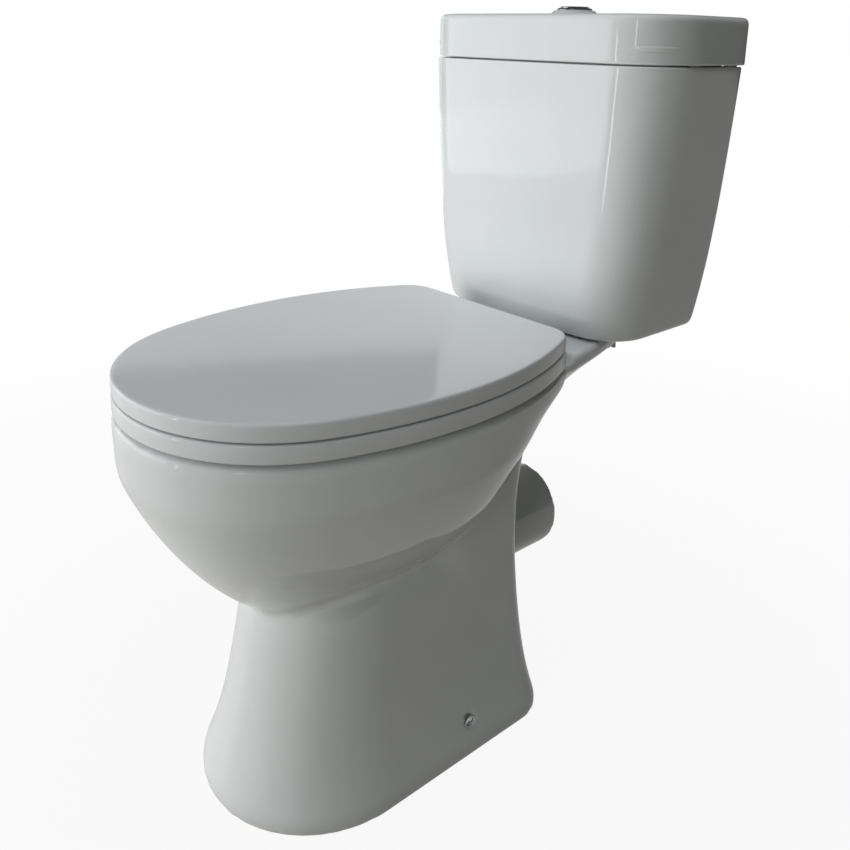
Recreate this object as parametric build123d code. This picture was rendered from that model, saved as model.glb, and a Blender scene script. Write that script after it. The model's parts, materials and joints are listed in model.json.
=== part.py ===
"""Close coupled toilet: china pan, china cistern with its lid, hinged seat and
lid, dual flush valve, fill valve and the fixings that hold them together.

Millimetres, +Z up. X is across the toilet, -Y is its front and +Y the wall.
The origin is on the floor, under the middle of the overall depth.
Distances named "back" are measured from the wall face towards the front."""
from build123d import *
import os
from math import asin, atan, cos, degrees, pi, sin

os.makedirs("parts", exist_ok=True)

# ---- overall and running clearances ----------------------------------------
overall_depth = 611.0      # wall face of the cistern lid to the front of the rim
wall_y = overall_depth / 2
pin_clearance = 0.05       # radial, where something turns or slides on a pin
rest_gap = 0.3             # between a moving piece and what it rests on
china_wall = 11.0

# ---- pan: rim, bowl and foot -----------------------------------------------
rim_height = 418.2         # top of the rim, under the seat
rim_front_back = overall_depth
rim_widest_back = 377.0
rim_rear_back = 194.0
rim_half_width = 169.5
rim_edge_radius = 5.0
rim_band_low = 400.0       # upright band under the top of the rim
bowl_top = 366.0           # the bowl turns in below this height
nose_bluntness = 1.3       # radius at the very front, for a nose as long as it is wide
nose_turns = (0.26, 2.1)   # slopes at which one arc of the nose hands over to the next
opening_half_width = 116.0
opening_front_back = 554.0
opening_rear_back = 264.0
rim_lip = 11.0             # thickness of the lip round the opening
rim_lip_bottom = 385.0
rim_roof = 9.0             # china over the flushing channel
channel_step = 2.0         # the channel is this much narrower than the bowl under it
foot_front_back = 552.6
foot_rear_back = 199.0
foot_half_width = 121.0
foot_corner = 36.0
foot_height = 200.0        # where the foot meets the belly of the bowl
foot_hollow_height = 54.0
foot_lip_height = 18.0     # upright lip round the foot
foot_edge_radius = 4.0

# ---- pan: trap and outlet --------------------------------------------------
outlet_height = 185.6      # centre of the spigot above the floor
outlet_radius = 51.0
outlet_end_back = 114.6
outlet_straight = 88.0     # length that a pan connector can grip
outlet_root_radius = 58.0  # where the spigot flares into the foot
outlet_root_length = 16.0
outlet_edge_radius = 3.0
outlet_bore_radius = 43.0
trap_radius = 30.0
trap_dip_height = 102.0    # centre of the passage at its lowest
weir_height = 214.0        # centre of the passage at its highest

# ---- pan: ledge under the cistern ------------------------------------------
ledge_height = 428.0
ledge_rear_back = 14.0
ledge_front_back = 189.0   # step down to the rim
flush_back = 76.0          # axis of the flush inlet and of the two bolts
inlet_recess_radius = 46.0
inlet_recess_floor = 411.0
duct_half_width = 30.0
duct_floor = 395.0

# ---- cistern ---------------------------------------------------------------
tank_bottom = 430.3
tank_top = 717.0
tank_floor_thickness = 13.0
tank_wall = 9.0
tank_edge_radius = 11.0
tank_back_setback = 3.0    # behind the lid's overhang
lid_bottom = 720.0
lid_height = 45.5
lid_half_width = 175.0
lid_depth = 155.6
lid_corner = 68.0
lid_wall = 8.0
lid_edge_radius = 6.0
front_bow_radius = 1250.0
rear_corner = 12.0
tank_floor = tank_bottom + tank_floor_thickness

# ---- flush button ----------------------------------------------------------
boss_height = 5.0
boss_base_radius = 27.0
boss_top_radius = 22.5
bezel_radius = 19.5
sleeve_radius = 17.5
sleeve_bore_radius = 15.8
button_travel = 6.0
button_gap = 0.3

# ---- seat ------------------------------------------------------------------
seat_inset = 0.5           # the seat stops this far inside the rim, at each side
seat_nose_inset = 2.0      # and this far behind its front
seat_front_back = rim_front_back - seat_nose_inset
seat_rear_back = rim_rear_back
seat_half_width = rim_half_width - seat_inset
ring_bottom = 420.4
ring_thickness = 16.6
lid_gap = 1.5              # between ring and lid
seat_lid_thickness = 16.8
seat_wall = 4.5
ring_opening_half = 108.0
ring_opening_front_back = 552.0
ring_opening_rear_back = 270.0
seat_lid_edge_radius = 5.0
hinge_spacing = 155.0      # between the two fixing holes
hinge_hole_back = 171.0
hinge_hole_radius = 7.0
hinge_axis_back = 186.0
hinge_axis_height = 441.0
knuckle_radius = 7.0
hinge_pin_radius = 3.5

# ---- fixings ---------------------------------------------------------------
bolt_spacing = 152.0       # between the two bolts that hold the cistern down
bolt_radius = 4.0
bolt_hole_radius = 6.0
bolt_seat_radius = 14.0    # flat under the ledge, for the washer and wing nut
bolt_seat_height = 413.0
hinge_seat_radius = 12.0   # recess under each hinge hole
hinge_seat_height = 408.0
side_hole_back = 315.0     # side fixing of the foot
side_hole_height = 39.0
side_hole_radius = 6.5
cut_reach = 68.0           # how far the cut for a nut's seat runs down past the china

# ---- fill valve ------------------------------------------------------------
fill_x = -115.0
shank_radius = 11.0        # threaded shank, through the cistern floor
fill_nut_height = 9.0
tail_radius = 10.4         # half inch pipe thread, over the crests
tail_bore_radius = 6.0


def at_back(back):
    """Y of a place that lies this far in front of the wall."""
    return wall_y - back


def between(stations, position):
    """Row of sizes at a position, in proportion between the two stations beside it."""
    for low, high in zip(stations, stations[1:]):
        if low[0] <= position <= high[0]:
            share = (position - low[0]) / (high[0] - low[0])
            return [a + share * (b - a) for a, b in zip(low, high)]
    raise ValueError("position lies outside the stations")


def even_rows(stations, count, first=None, last=None):
    """The sizes at evenly spaced positions, which keeps a loft through them fair."""
    first = stations[0][0] if first is None else first
    last = stations[-1][0] if last is None else last
    return [between(stations, first + (last - first) * i / (count - 1)) for i in range(count)]


def egg_face(height, front_back, widest_back, rear_back, half_width, taper=0.30,
             corner=25.0):
    """Seat-shaped outline of tangent arcs: round nose, drawn-in flanks, straight rear.

    The first arc of the nose follows from its bluntness, and the other two have the
    radii that bring it to the widest place with its side pointing straight back."""
    front_y, widest_y, rear_y = [at_back(b) for b in (front_back, widest_back, rear_back)]
    nose = widest_y - front_y
    flank = rear_y - widest_y
    first, second = [atan(turn * nose / half_width) for turn in nose_turns]
    first_radius = nose_bluntness * half_width ** 2 / nose
    across = half_width - first_radius * sin(first)
    along = nose - first_radius * (1 - cos(first))
    shares = (sin(second) - sin(first), 1 - sin(second), cos(first) - cos(second), cos(second))
    scale = shares[0] * shares[3] - shares[1] * shares[2]
    second_radius = (across * shares[3] - shares[1] * along) / scale
    third_radius = (shares[0] * along - shares[2] * across) / scale
    drawn_in = half_width * taper
    flank_radius = (flank ** 2 + drawn_in ** 2) / (2 * drawn_in)
    flank_turn = asin((flank - corner) / (flank_radius - corner))
    start, tangent, turned = (0, front_y), (1, 0), 0.0
    half = []
    for radius, heading in ((first_radius, first), (second_radius, second),
                            (third_radius, pi / 2), (flank_radius, pi / 2 + flank_turn),
                            (corner, pi)):
        arc = JernArc(start=start, tangent=tangent, radius=radius,
                      arc_size=degrees(heading - turned))
        half.append(arc)
        start, tangent, turned = arc @ 1, arc % 1, heading
    half.append(Line(start, (0, rear_y)))
    outline = Curve() + half
    outline += mirror(outline, Plane.YZ)
    return Pos(0, 0, height) * make_face(outline.edges())


def stadium_face(height, front_back, rear_back, half_width, corner):
    """Foot outline: full round front, straight sides, rounded rear corners."""
    front_y = at_back(front_back)
    rear_y = at_back(rear_back)
    side_y = front_y + half_width
    front = ThreePointArc((-half_width, side_y), (0, front_y), (half_width, side_y))
    right = Line(front @ 1, (half_width, rear_y - corner))
    right_bend = JernArc(start=right @ 1, tangent=(0, 1), radius=corner, arc_size=90)
    rear = Line(right_bend @ 1, (corner - half_width, rear_y))
    left_bend = JernArc(start=rear @ 1, tangent=(-1, 0), radius=corner, arc_size=90)
    left = Line(left_bend @ 1, front @ 0)
    return Pos(0, 0, height) * make_face([front, right, right_bend, rear, left_bend, left])


def cistern_face(height, half_width, depth, corner, rear_back=0.0, rear_bend=rear_corner):
    """Cistern outline: bowed front, large front corners, small rear corners."""
    rear_y = at_back(rear_back)
    swing = asin((half_width - corner) / (front_bow_radius - corner))
    corner_y = rear_y - depth + corner
    corner_y += front_bow_radius - corner - (front_bow_radius - corner) * cos(swing)
    bow_start = ((half_width - corner) + corner * sin(swing), corner_y - corner * cos(swing))
    bow = ThreePointArc((-bow_start[0], bow_start[1]), (0, rear_y - depth), bow_start)
    bend = JernArc(start=bow_start, tangent=(cos(swing), sin(swing)), radius=corner,
                   arc_size=90 - degrees(swing))
    side = Line(bend @ 1, (half_width, rear_y - rear_bend))
    rear_right = JernArc(start=side @ 1, tangent=(0, 1), radius=rear_bend, arc_size=90)
    half = Curve() + [bend, side, rear_right]
    rear = Line(rear_right @ 1, (rear_bend - half_width, rear_y))
    outline = half + mirror(half, Plane.YZ)
    return Pos(0, 0, height) * make_face([bow] + list(outline.edges()) + [rear])


def post(radius, low, high, x=0.0, back=0.0, bore=0.0):
    """Upright round bar or, with a bore, a tube."""
    bar = Pos(x, at_back(back), (low + high) / 2) * Cylinder(radius, high - low)
    if bore:
        bar -= Pos(x, at_back(back), (low + high) / 2) * Cylinder(bore, high - low + 2)
    return bar


def cross_bar(radius, left, right, back, height, bore=0.0):
    """Round bar or tube that lies across the toilet."""
    place = Pos((left + right) / 2, at_back(back), height) * Rot(0, 90, 0)
    bar = place * Cylinder(radius, right - left)
    if bore:
        bar -= place * Cylinder(bore, right - left + 2)
    return bar


def block(left, right, front_back, rear_back, low, high):
    """Rectangular block between two planes each way."""
    return Pos((left + right) / 2, at_back((front_back + rear_back) / 2), (low + high) / 2) \
        * Box(right - left, front_back - rear_back, high - low)


def hexagon(across_flats, low, high, x, back, bore):
    """Hexagonal nut with its hole."""
    nut = Pos(x, at_back(back), low) * extrude(
        RegularPolygon(across_flats / 2, 6, major_radius=False), high - low)
    return nut - post(bore, low - 1, high + 1, x, back)


def wing_nut(low, high, x, back, bore, span):
    """Nut with two flat wings."""
    hub = post(bore + 3.0, low, high, x, back)
    wings = block(x - span / 2, x + span / 2, back + 1.5, back - 1.5, low, high - 1.5)
    return hub + wings - post(bore, low - 1, high + 1, x, back)


def side_profile(points, left, right):
    """Plate across the toilet whose outline is given as (back, height) points."""
    outline = Polyline(*[(0, at_back(b), z) for b, z in points], close=True)
    return Pos(left, 0, 0) * extrude(make_face(outline), right - left, dir=(1, 0, 0))


def both_sides(shape):
    """The shape and its mirror image, as two solids."""
    return Compound(children=[shape, mirror(shape, Plane.YZ)])


# ---- pan -------------------------------------------------------------------
def pan_outside():
    """Bowl, foot, rear column, ledge and outlet spigot, as one outer form."""
    rim = extrude(egg_face(rim_band_low, rim_front_back, rim_widest_back, rim_rear_back,
                           rim_half_width), rim_height - rim_band_low)
    rim = fillet(rim.edges().group_by(Axis.Z)[-1], rim_edge_radius)
    bowl_stations = [
        # height, front, rear, half width, taper
        (199.0, 492.0, 300.0, 46.0, 0.45),
        (236.0, 533.0, 266.0, 83.0, 0.48),
        (271.0, 562.0, 247.0, 119.0, 0.51),
        (311.0, 587.0, 233.0, 146.0, 0.50),
        (343.0, 602.0, 223.0, 161.5, 0.47),
        (bowl_top, rim_front_back - 0.5, 214.0, rim_half_width - 0.3, 0.43),
    ]
    skirt = loft([egg_face(h, f, rim_widest_back, r, a, taper=t) for h, f, r, a, t in (
        bowl_stations[-1], (rim_band_low, rim_front_back, rim_rear_back, rim_half_width, 0.30))],
        ruled=True)
    bowl = loft([egg_face(h, f, rim_widest_back, r, a, taper=t)
                 for h, f, r, a, t in even_rows(bowl_stations, 5)])
    foot_outline = (foot_front_back, foot_rear_back, foot_half_width, foot_corner)
    lip = extrude(stadium_face(0.0, *foot_outline), foot_lip_height)
    lip = fillet(lip.edges().group_by(Axis.Z)[0], foot_edge_radius)
    foot_stations = [
        # height, front, rear, half width, corner
        (foot_lip_height, *foot_outline),
        (36.0, 545.0, 202.5, 114.5, 35.0),
        (60.0, 535.0, 205.5, 108.0, 33.0),
        (110.0, 521.0, 210.5, 100.5, 32.0),
        (160.0, 510.0, 215.5, 96.5, 30.0),
        (foot_height, 502.0, 217.0, 94.0, 30.0),
    ]
    foot = loft([stadium_face(*row) for row in even_rows(foot_stations, 5)])
    shoulder_stations = [
        (foot_height, 502.0, 217.0, 94.0, 30.0),
        (225.0, 492.0, 222.0, 88.0, 30.0),
        (250.0, 474.0, 232.0, 78.0, 30.0),
    ]
    shoulder = loft([stadium_face(*row) for row in shoulder_stations])
    column_stations = [
        (185.0, 400.0, 217.5, 94.2, 30.0),
        (240.0, 395.0, 216.0, 91.5, 29.0),
        (300.0, 390.0, 211.0, 89.0, 27.0),
        (332.0, 385.0, 201.0, 88.0, 25.0),
        (363.0, 380.0, 186.0, 88.0, 25.0),
        (385.0, 375.0, 168.0, 88.0, 25.0),
    ]
    column = loft([stadium_face(*row) for row in even_rows(column_stations, 4)])
    ledge_stations = [
        # back, half width above, underside, half width below
        (ledge_rear_back, 90.0, 413.0, 84.0),
        (60.0, 92.0, 413.0, 86.0),
        (100.0, 102.0, 408.0, 90.0),
        (135.0, 114.0, 399.0, 92.0),
        (165.0, 120.0, 388.0, 92.0),
        (195.0, 125.0, 370.0, 90.0),
        (240.0, 130.0, 334.0, 88.0),
    ]
    ledge = loft([ledge_face(*row) for row in even_rows(ledge_stations, 5)])
    ledge -= block(-200, 200, 300, ledge_front_back, rim_height, ledge_height + 10)
    spine = loft([spine_face(back, half, floor)
                  for back, half, floor in ((ledge_rear_back + 8, 50.0, 400.0),
                                            (flush_back, 58.0, 386.0), (150.0, 58.0, 376.0),
                                            (215.0, 60.0, 350.0))], ruled=True)
    spigot_end = Pos(0, at_back(outlet_end_back), outlet_height) * Rot(90, 0, 0)
    spigot = spigot_end * extrude(Circle(outlet_radius), outlet_straight + 60)
    spigot = fillet(spigot.edges().group_by(Axis.Y)[-1], outlet_edge_radius)
    spigot += spigot_end * Pos(0, 0, outlet_straight + outlet_root_length / 2) \
        * Cone(outlet_radius, outlet_root_radius, outlet_root_length)
    return rim + skirt + bowl + lip + foot + shoulder + column + ledge + spine + spigot


def ledge_face(back, half_width, underside, half_below):
    """Upright section of the ledge: flat top, short sides, flanks drawn in below."""
    side = 13.0
    points = [(-half_width, ledge_height), (half_width, ledge_height),
              (half_width, ledge_height - side), (half_below, underside),
              (-half_below, underside), (-half_width, ledge_height - side)]
    plane = Plane(origin=(0, at_back(back), 0), x_dir=(1, 0, 0), z_dir=(0, -1, 0))
    face = make_face(Polyline(*points, close=True))
    corners = face.vertices()
    face = fillet([v for v in corners if v.Y < underside + 0.1], 9)
    face = fillet([v for v in face.vertices() if v.Y > ledge_height - 0.1], 4)
    return plane * face


def spine_face(back, half_width, floor):
    """Upright section of the water way that hangs under the middle of the ledge."""
    plane = Plane(origin=(0, at_back(back), 0), x_dir=(1, 0, 0), z_dir=(0, -1, 0))
    top = rim_height - 4
    middle = (top + floor) / 2
    high = top - floor
    return plane * Pos(0, middle) * RectangleRounded(2 * half_width, high, 6)


def trap_path():
    """Centre line of the passage from the sump over the weir to the spigot."""
    points = [(392.0, trap_dip_height), (330.0, trap_dip_height), (262.0, weir_height),
              (212.0, outlet_height), (outlet_end_back - 10, outlet_height)]
    return FilletPolyline(*[(0, at_back(b), z) for b, z in points], radius=[42, 36, 40])


channel_outline = (598.0, 214.0, 156.0, 0.34)    # front, rear, half width, taper


def bowl_inside():
    """Inside of the bowl and sump, below the rim."""
    stations = [
        (78.0, 432.0, 345.0, 30.0, 0.30),
        (110.0, 440.0, 330.0, 33.0, 0.30),
        (150.0, 452.0, 312.0, 40.0, 0.32),
        (190.0, 472.0, 292.0, 51.0, 0.35),
        (225.0, 506.0, 275.0, 72.0, 0.42),
        (260.0, 541.0, 258.0, 101.0, 0.46),
        (300.0, 568.0, 244.0, 129.0, 0.46),
        (345.0, 588.0, 230.0, 149.0, 0.40),
        (rim_lip_bottom, *channel_outline),
    ]
    return loft([egg_face(h, f, rim_widest_back, r, a, taper=t, corner=18.0)
                 for h, f, r, a, t in even_rows(stations, 6)])


def make_pan():
    """China pan with its bowl, flushing rim, trap, outlet, ledge and hollow foot."""
    pan = pan_outside()
    opening = extrude(egg_face(rim_lip_bottom - 1, opening_front_back, rim_widest_back,
                               opening_rear_back, opening_half_width),
                      ledge_height - rim_lip_bottom + 2)
    lip = extrude(egg_face(rim_lip_bottom - 1, opening_front_back + rim_lip, rim_widest_back,
                           opening_rear_back - rim_lip, opening_half_width + rim_lip),
                  ledge_height - rim_lip_bottom)
    front, rear, half_width, taper = channel_outline
    channel = extrude(egg_face(rim_lip_bottom - 0.5, front - channel_step, rim_widest_back,
                               rear + channel_step, half_width - channel_step, taper=taper,
                               corner=18.0),
                      rim_height - rim_roof - rim_lip_bottom + 0.5)
    duct = block(-duct_half_width, duct_half_width, 235, flush_back - duct_half_width,
                 duct_floor, inlet_recess_floor - 4)
    path = trap_path()
    passage = sweep(Plane(origin=path @ 0, z_dir=path % 0) * Circle(trap_radius), path=path)
    socket = Pos(0, at_back(outlet_end_back), outlet_height) * Rot(90, 0, 0) \
        * extrude(Circle(outlet_bore_radius), 60)
    reducer = Pos(0, at_back(outlet_end_back + 60 + 12), outlet_height) * Rot(90, 0, 0) \
        * Cone(outlet_bore_radius, trap_radius, 24)
    pan -= [bowl_inside(), channel - lip, opening, passage, socket, reducer, duct]
    inner = [(-1.0, foot_front_back, foot_rear_back, foot_half_width, foot_corner),
             (foot_hollow_height, 536.0, 209.0, 109.0, 33.0)]
    hollow = loft([stadium_face(h, f - china_wall - 1, r + china_wall + 1,
                                a - china_wall - 1, c - 8) for h, f, r, a, c in inner],
                  ruled=True)
    pan -= hollow
    pan -= [post(inlet_recess_radius, inlet_recess_floor, ledge_height + 1, 0, flush_back),
            post(duct_half_width, duct_floor, ledge_height, 0, flush_back)]
    for side in (-1, 1):
        pan -= post(bolt_hole_radius, 380, ledge_height + 1, side * bolt_spacing / 2, flush_back)
        pan -= post(bolt_seat_radius, 380, bolt_seat_height, side * bolt_spacing / 2, flush_back)
        pan -= post(hinge_hole_radius, hinge_seat_height - cut_reach, ledge_height + 1,
                    side * hinge_spacing / 2, hinge_hole_back)
        pan -= post(hinge_seat_radius, hinge_seat_height - cut_reach, hinge_seat_height,
                    side * hinge_spacing / 2, hinge_hole_back)
    pan -= cross_bar(side_hole_radius, -foot_half_width, foot_half_width, side_hole_back,
                     side_hole_height)
    return pan


# ---- cistern ---------------------------------------------------------------
tank_stations = [
    # height, half width, depth, front corner
    (tank_bottom, 139.8, 148.5, 54.0),
    (468.0, 147.3, 153.0, 56.0),
    (515.0, 154.7, 156.0, 57.0),
    (575.0, 161.2, 156.8, 57.5),
    (642.0, 166.6, 157.0, 58.5),
    (tank_top, 171.1, 157.0, 60.0),
]


def make_tank():
    """China cistern: tapering walls, floor with valve, bolt and inlet holes."""
    outside = loft([cistern_face(h, a, d, c, tank_back_setback)
                    for h, a, d, c in tank_stations], ruled=True)
    outside = fillet(outside.edges().group_by(Axis.Z)[0], tank_edge_radius)
    inside = loft([cistern_face(h, a - tank_wall, d - 2 * tank_wall, c - tank_wall,
                                tank_back_setback + tank_wall, 8.0)
                   for h, a, d, c in [(tank_floor, *between(tank_stations, tank_floor)[1:])]
                   + tank_stations[1:-1] + [(tank_top + 5, *tank_stations[-1][1:])]],
                  ruled=True)
    tank = outside - inside
    tank -= post(32.0, tank_bottom - 1, tank_floor + 1, 0, flush_back)
    for side in (-1, 1):
        tank -= post(bolt_hole_radius, tank_bottom - 1, tank_floor + 1,
                     side * bolt_spacing / 2, flush_back)
        tank -= Pos(side * 110, at_back(tank_back_setback + tank_wall / 2), 672) \
            * Rot(90, 0, 0) * Cylinder(4.0, tank_wall + 4)
    tank -= post(shank_radius + 0.8, tank_bottom - 1, tank_floor + 1, fill_x, flush_back)
    return tank


lid_top = lid_bottom + lid_height


def make_cistern_lid():
    """China lid: rounded top edge, skirt, locating rib and boss round the button."""
    lid = extrude(cistern_face(lid_bottom, lid_half_width, lid_depth + 4.5, lid_corner),
                  lid_height)
    lid = fillet(lid.edges().group_by(Axis.Z)[-1], lid_edge_radius)
    lid += Pos(0, at_back(flush_back), lid_top + boss_height / 2 - 1) \
        * Cone(boss_base_radius, boss_top_radius, boss_height + 2)
    hollow = extrude(cistern_face(lid_bottom - 1, lid_half_width - lid_wall,
                                  lid_depth + 4.5 - 2 * lid_wall, lid_corner - lid_wall,
                                  lid_wall, 8.0), lid_height - lid_wall)
    lid -= hollow
    rib = extrude(cistern_face(tank_top - 6, 156.5, 128.5, 52.0, 16.0, 8.0), 22)
    rib -= extrude(cistern_face(tank_top - 7, 151.0, 117.5, 47.0, 21.5, 6.0), 24)
    strap = extrude(cistern_face(lid_bottom + 10, lid_half_width - 2, lid_depth, 60.0, 3.0), 6)
    strap -= extrude(cistern_face(lid_bottom + 9, 151.0, 117.5, 47.0, 21.5, 6.0), 8)
    lid += rib + strap
    lid -= post(sleeve_radius + 0.5, lid_bottom, lid_top + 20, 0, flush_back)
    return lid


def make_lid_pads():
    """Four soft pads on the cistern's rim, which the lid rests on."""
    pads = []
    for x, back in ((165.2, 20.0), (165.2, 84.0)):
        pads += [block(side * x - 3, side * x + 3, back + 8, back - 8, tank_top,
                       lid_bottom - rest_gap) for side in (-1, 1)]
    return Compound(children=pads)


# ---- flush buttons, carried by the cistern lid -----------------------------
boss_top = lid_top + boss_height
sleeve_bottom = 735.0
lid_ceiling = lid_bottom - 1 + lid_height - lid_wall
button_base_top = sleeve_bottom + 3.0
button_bottom = 762.0
button_radius = sleeve_bore_radius - button_gap
full_rod_x = 7.0
half_rod_x = -8.5
rod_radius = 2.3
rod_hole_radius = 2.9
lens_centre_x = -17.0
lens_radius = 15.6


def make_bezel():
    """Chromed flange with the threaded sleeve that passes through the lid."""
    flange = post(bezel_radius, boss_top, boss_top + 2.5, 0, flush_back, sleeve_bore_radius)
    flange = chamfer(flange.edges().group_by(Axis.Z)[-1].sort_by(SortBy.LENGTH)[-1], 1.2)
    return flange + post(sleeve_radius, sleeve_bottom, boss_top + 1, 0, flush_back,
                         sleeve_bore_radius)


def make_button_base():
    """Floor of the sleeve, which guides both rods and carries both springs."""
    base = post(sleeve_bore_radius, sleeve_bottom, button_base_top, 0, flush_back)
    for x in (full_rod_x, half_rod_x):
        base -= post(rod_hole_radius, sleeve_bottom - 1, button_base_top + 1, x, flush_back)
    return base


def make_buttons():
    """The large and the small key, split by an arc."""
    disc = post(button_radius, button_bottom, boss_top + 4.0, 0, flush_back)
    disc = chamfer(disc.edges().group_by(Axis.Z)[-1], 0.8)
    low, high = button_bottom - 1, boss_top + 6
    small = disc & post(lens_radius, low, high, lens_centre_x, flush_back)
    large = disc - post(lens_radius + button_gap * 2, low, high, lens_centre_x, flush_back)
    return large, small


# ---- flush valve -----------------------------------------------------------
valve_bore = 25.0
valve_tail_radius = 30.0
valve_tail_bottom = inlet_recess_floor + 2
washer_thickness = 3.0
valve_flange_low = tank_floor + washer_thickness
valve_flange_radius = 42.0
valve_flange_top = valve_flange_low + 4.5
valve_seat_top = valve_flange_top + 6.0
seal_thickness = 3.5
tube_radius = 12.0
tube_bore_radius = 10.0
tube_top = 630.0
tube_lift = 7.0
cage_post_top = 520.0
cage_plate = 4.0
guide_radius = 20.0
guide_bore = 16.5
platform_low = 640.0
platform_top = platform_low + 4.0
rocker_height = platform_top + 11.0
rocker_half_thick = 2.0
rocker_pin_radius = 1.5
full_pivot_x = 22.0
half_pivot_x = -26.0
link_x = 36.0
link_radius = 2.5
yoke_low = 560.0
rocker_top = rocker_height + rocker_half_thick
rod_bottom = rocker_top + 0.5


def make_valve_base():
    """Valve seat with its flange and the threaded tail through the cistern floor."""
    base = post(valve_tail_radius, valve_tail_bottom, valve_flange_top, 0, flush_back)
    base += post(valve_flange_radius, valve_flange_low, valve_flange_top, 0, flush_back)
    base += post(valve_bore + 2.5, valve_flange_top - 1, valve_seat_top, 0, flush_back)
    return base - post(valve_bore, valve_tail_bottom - 1, valve_seat_top + 1, 0, flush_back)


def make_valve_tower():
    """Cage and guide tube of the flush valve, in one moulding."""
    tower = post(valve_flange_radius, valve_flange_top, valve_flange_top + 4, 0, flush_back,
                 34.0)
    for turn in (45, 135, 225, 315):
        rib = Box(6, 8, cage_post_top - valve_flange_top - 2)
        centre = (cage_post_top + valve_flange_top + 4) / 2
        tower += Pos(0, at_back(flush_back), centre) * Rot(0, 0, turn) * Pos(38, 0, 0) * rib
    tower += post(valve_flange_radius, cage_post_top, cage_post_top + cage_plate, 0, flush_back,
                  tube_radius + pin_clearance)
    tower += post(guide_radius, cage_post_top + 2, platform_low, 0, flush_back, guide_bore)
    tower -= block(10, guide_radius + 2, flush_back + 5, flush_back - 5, yoke_low - 3,
                   yoke_low + 6 + tube_lift + 3)
    return tower


def make_rocker_platform():
    """Plate on top of the guide tube, with the brackets of both rockers."""
    platform = block(-34, link_x + 6, flush_back + 14, flush_back - 14, platform_low,
                     platform_top)
    platform += post(guide_radius + 2.5, platform_low - 6, platform_low + 1, 0, flush_back)
    platform -= post(guide_radius, platform_low - 7, platform_low, 0, flush_back)
    for x in (full_pivot_x, half_pivot_x):
        for side in (-1, 1):
            ear_back = flush_back + side * 9
            platform += block(x - 4, x + 4, ear_back + 1.5, ear_back - 1.5, platform_top - 1,
                              rocker_height + 4)
        platform -= Pos(x, at_back(flush_back), rocker_height) * Rot(90, 0, 0) \
            * Cylinder(rocker_pin_radius, 40)
    platform -= post(tube_radius + pin_clearance, platform_low - 1, platform_top + 1, 0,
                     flush_back)
    platform -= post(link_radius + 0.8, platform_low - 7, platform_top + 1, link_x, flush_back)
    return platform


def make_rocker(pivot_x, pad_x, outer_x, fork):
    """Lever across the tower: pad under a push rod, pivot and an outer end."""
    left, right = min(pad_x, outer_x), max(pad_x, outer_x)
    lever = block(left, right, flush_back + 6, flush_back - 6,
                  rocker_height - rocker_half_thick, rocker_top)
    lever += Pos(pivot_x, at_back(flush_back), rocker_height) * Rot(90, 0, 0) \
        * Cylinder(3.5, 12)
    if fork:
        lever -= block(link_x - 4.2, right + 1, flush_back + 3.6, flush_back - 3.6,
                       rocker_height - 6, rocker_height + 6)
    else:
        lever += block(pivot_x - 2, pivot_x + 2, flush_back + 5, flush_back - 5,
                       rocker_height - 5.5, rocker_height)
    lever -= Pos(pivot_x, at_back(flush_back), rocker_height) * Rot(90, 0, 0) \
        * Cylinder(rocker_pin_radius + pin_clearance, 20)
    return lever


def make_rocker_pins():
    """Pins of both rockers, held in the brackets."""
    return Compound(children=[
        Pos(x, at_back(flush_back), rocker_height) * Rot(90, 0, 0)
        * Cylinder(rocker_pin_radius, 21) for x in (full_pivot_x, half_pivot_x)])


seal_low = valve_seat_top + rest_gap
seal_top = seal_low + seal_thickness
seal_plate_top = seal_top + 4.0


def make_lift_tube():
    """Overflow tube with the plate above the seal."""
    tube = post(tube_radius, seal_top, tube_top, 0, flush_back)
    tube += post(23.0, seal_top, seal_plate_top, 0, flush_back)
    return tube - post(tube_bore_radius, seal_top - 1, tube_top + 1, 0, flush_back)


def make_lift_yoke():
    """Arm from the lift tube to a link rod with a collar above the rocker's fork."""
    yoke = block(tube_radius - 4, link_x + 4, flush_back + 4, flush_back - 4, yoke_low,
                 yoke_low + 6)
    yoke -= post(tube_radius, yoke_low - 1, yoke_low + 7, 0, flush_back)
    yoke += post(link_radius, yoke_low + 3, rocker_top + 4, link_x, flush_back)
    yoke += post(5.0, rocker_top + 0.8, rocker_top + 4, link_x, flush_back)
    return yoke


# ---- fill valve ------------------------------------------------------------
tail_bottom = 392.0
fill_flange_top = valve_flange_low + 4.0
fill_stem_radius = 9.5
head_low = 640.0
head_top = 662.0
float_low = 572.0
float_high = 622.0
float_travel = 14.0
float_radius = 27.0
arm_pivot_height = 671.0
arm_reach = 21.0
arm_droop = degrees(asin(float_travel / 2 / arm_reach))
float_link_x = fill_x + arm_reach


def make_fill_valve():
    """Shank, stem and head of the fill valve, with the ears of its lever."""
    nut_low = tank_bottom - fill_nut_height
    valve = post(tail_radius, tail_bottom, nut_low + 1, fill_x, flush_back)
    valve += post(shank_radius, nut_low, valve_flange_low + 1, fill_x, flush_back)
    valve += post(13.5, valve_flange_low, fill_flange_top, fill_x, flush_back)
    valve += post(fill_stem_radius, fill_flange_top - 1, head_low + 1, fill_x, flush_back)
    valve += post(14.0, head_low, head_top, fill_x, flush_back)
    valve += block(fill_x - 4, fill_x + 4, flush_back + 42, flush_back, head_low + 4,
                   head_low + 14)
    for side in (-1, 1):
        valve += block(fill_x - 4, fill_x + 4, flush_back + side * 6 + 1.5,
                       flush_back + side * 6 - 1.5, head_top - 1, arm_pivot_height + 4)
    valve -= Pos(fill_x, at_back(flush_back), arm_pivot_height) * Rot(90, 0, 0) \
        * Cylinder(rocker_pin_radius, 30)
    return valve - post(tail_bore_radius, tail_bottom - 1, head_low + 6, fill_x, flush_back)


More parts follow.
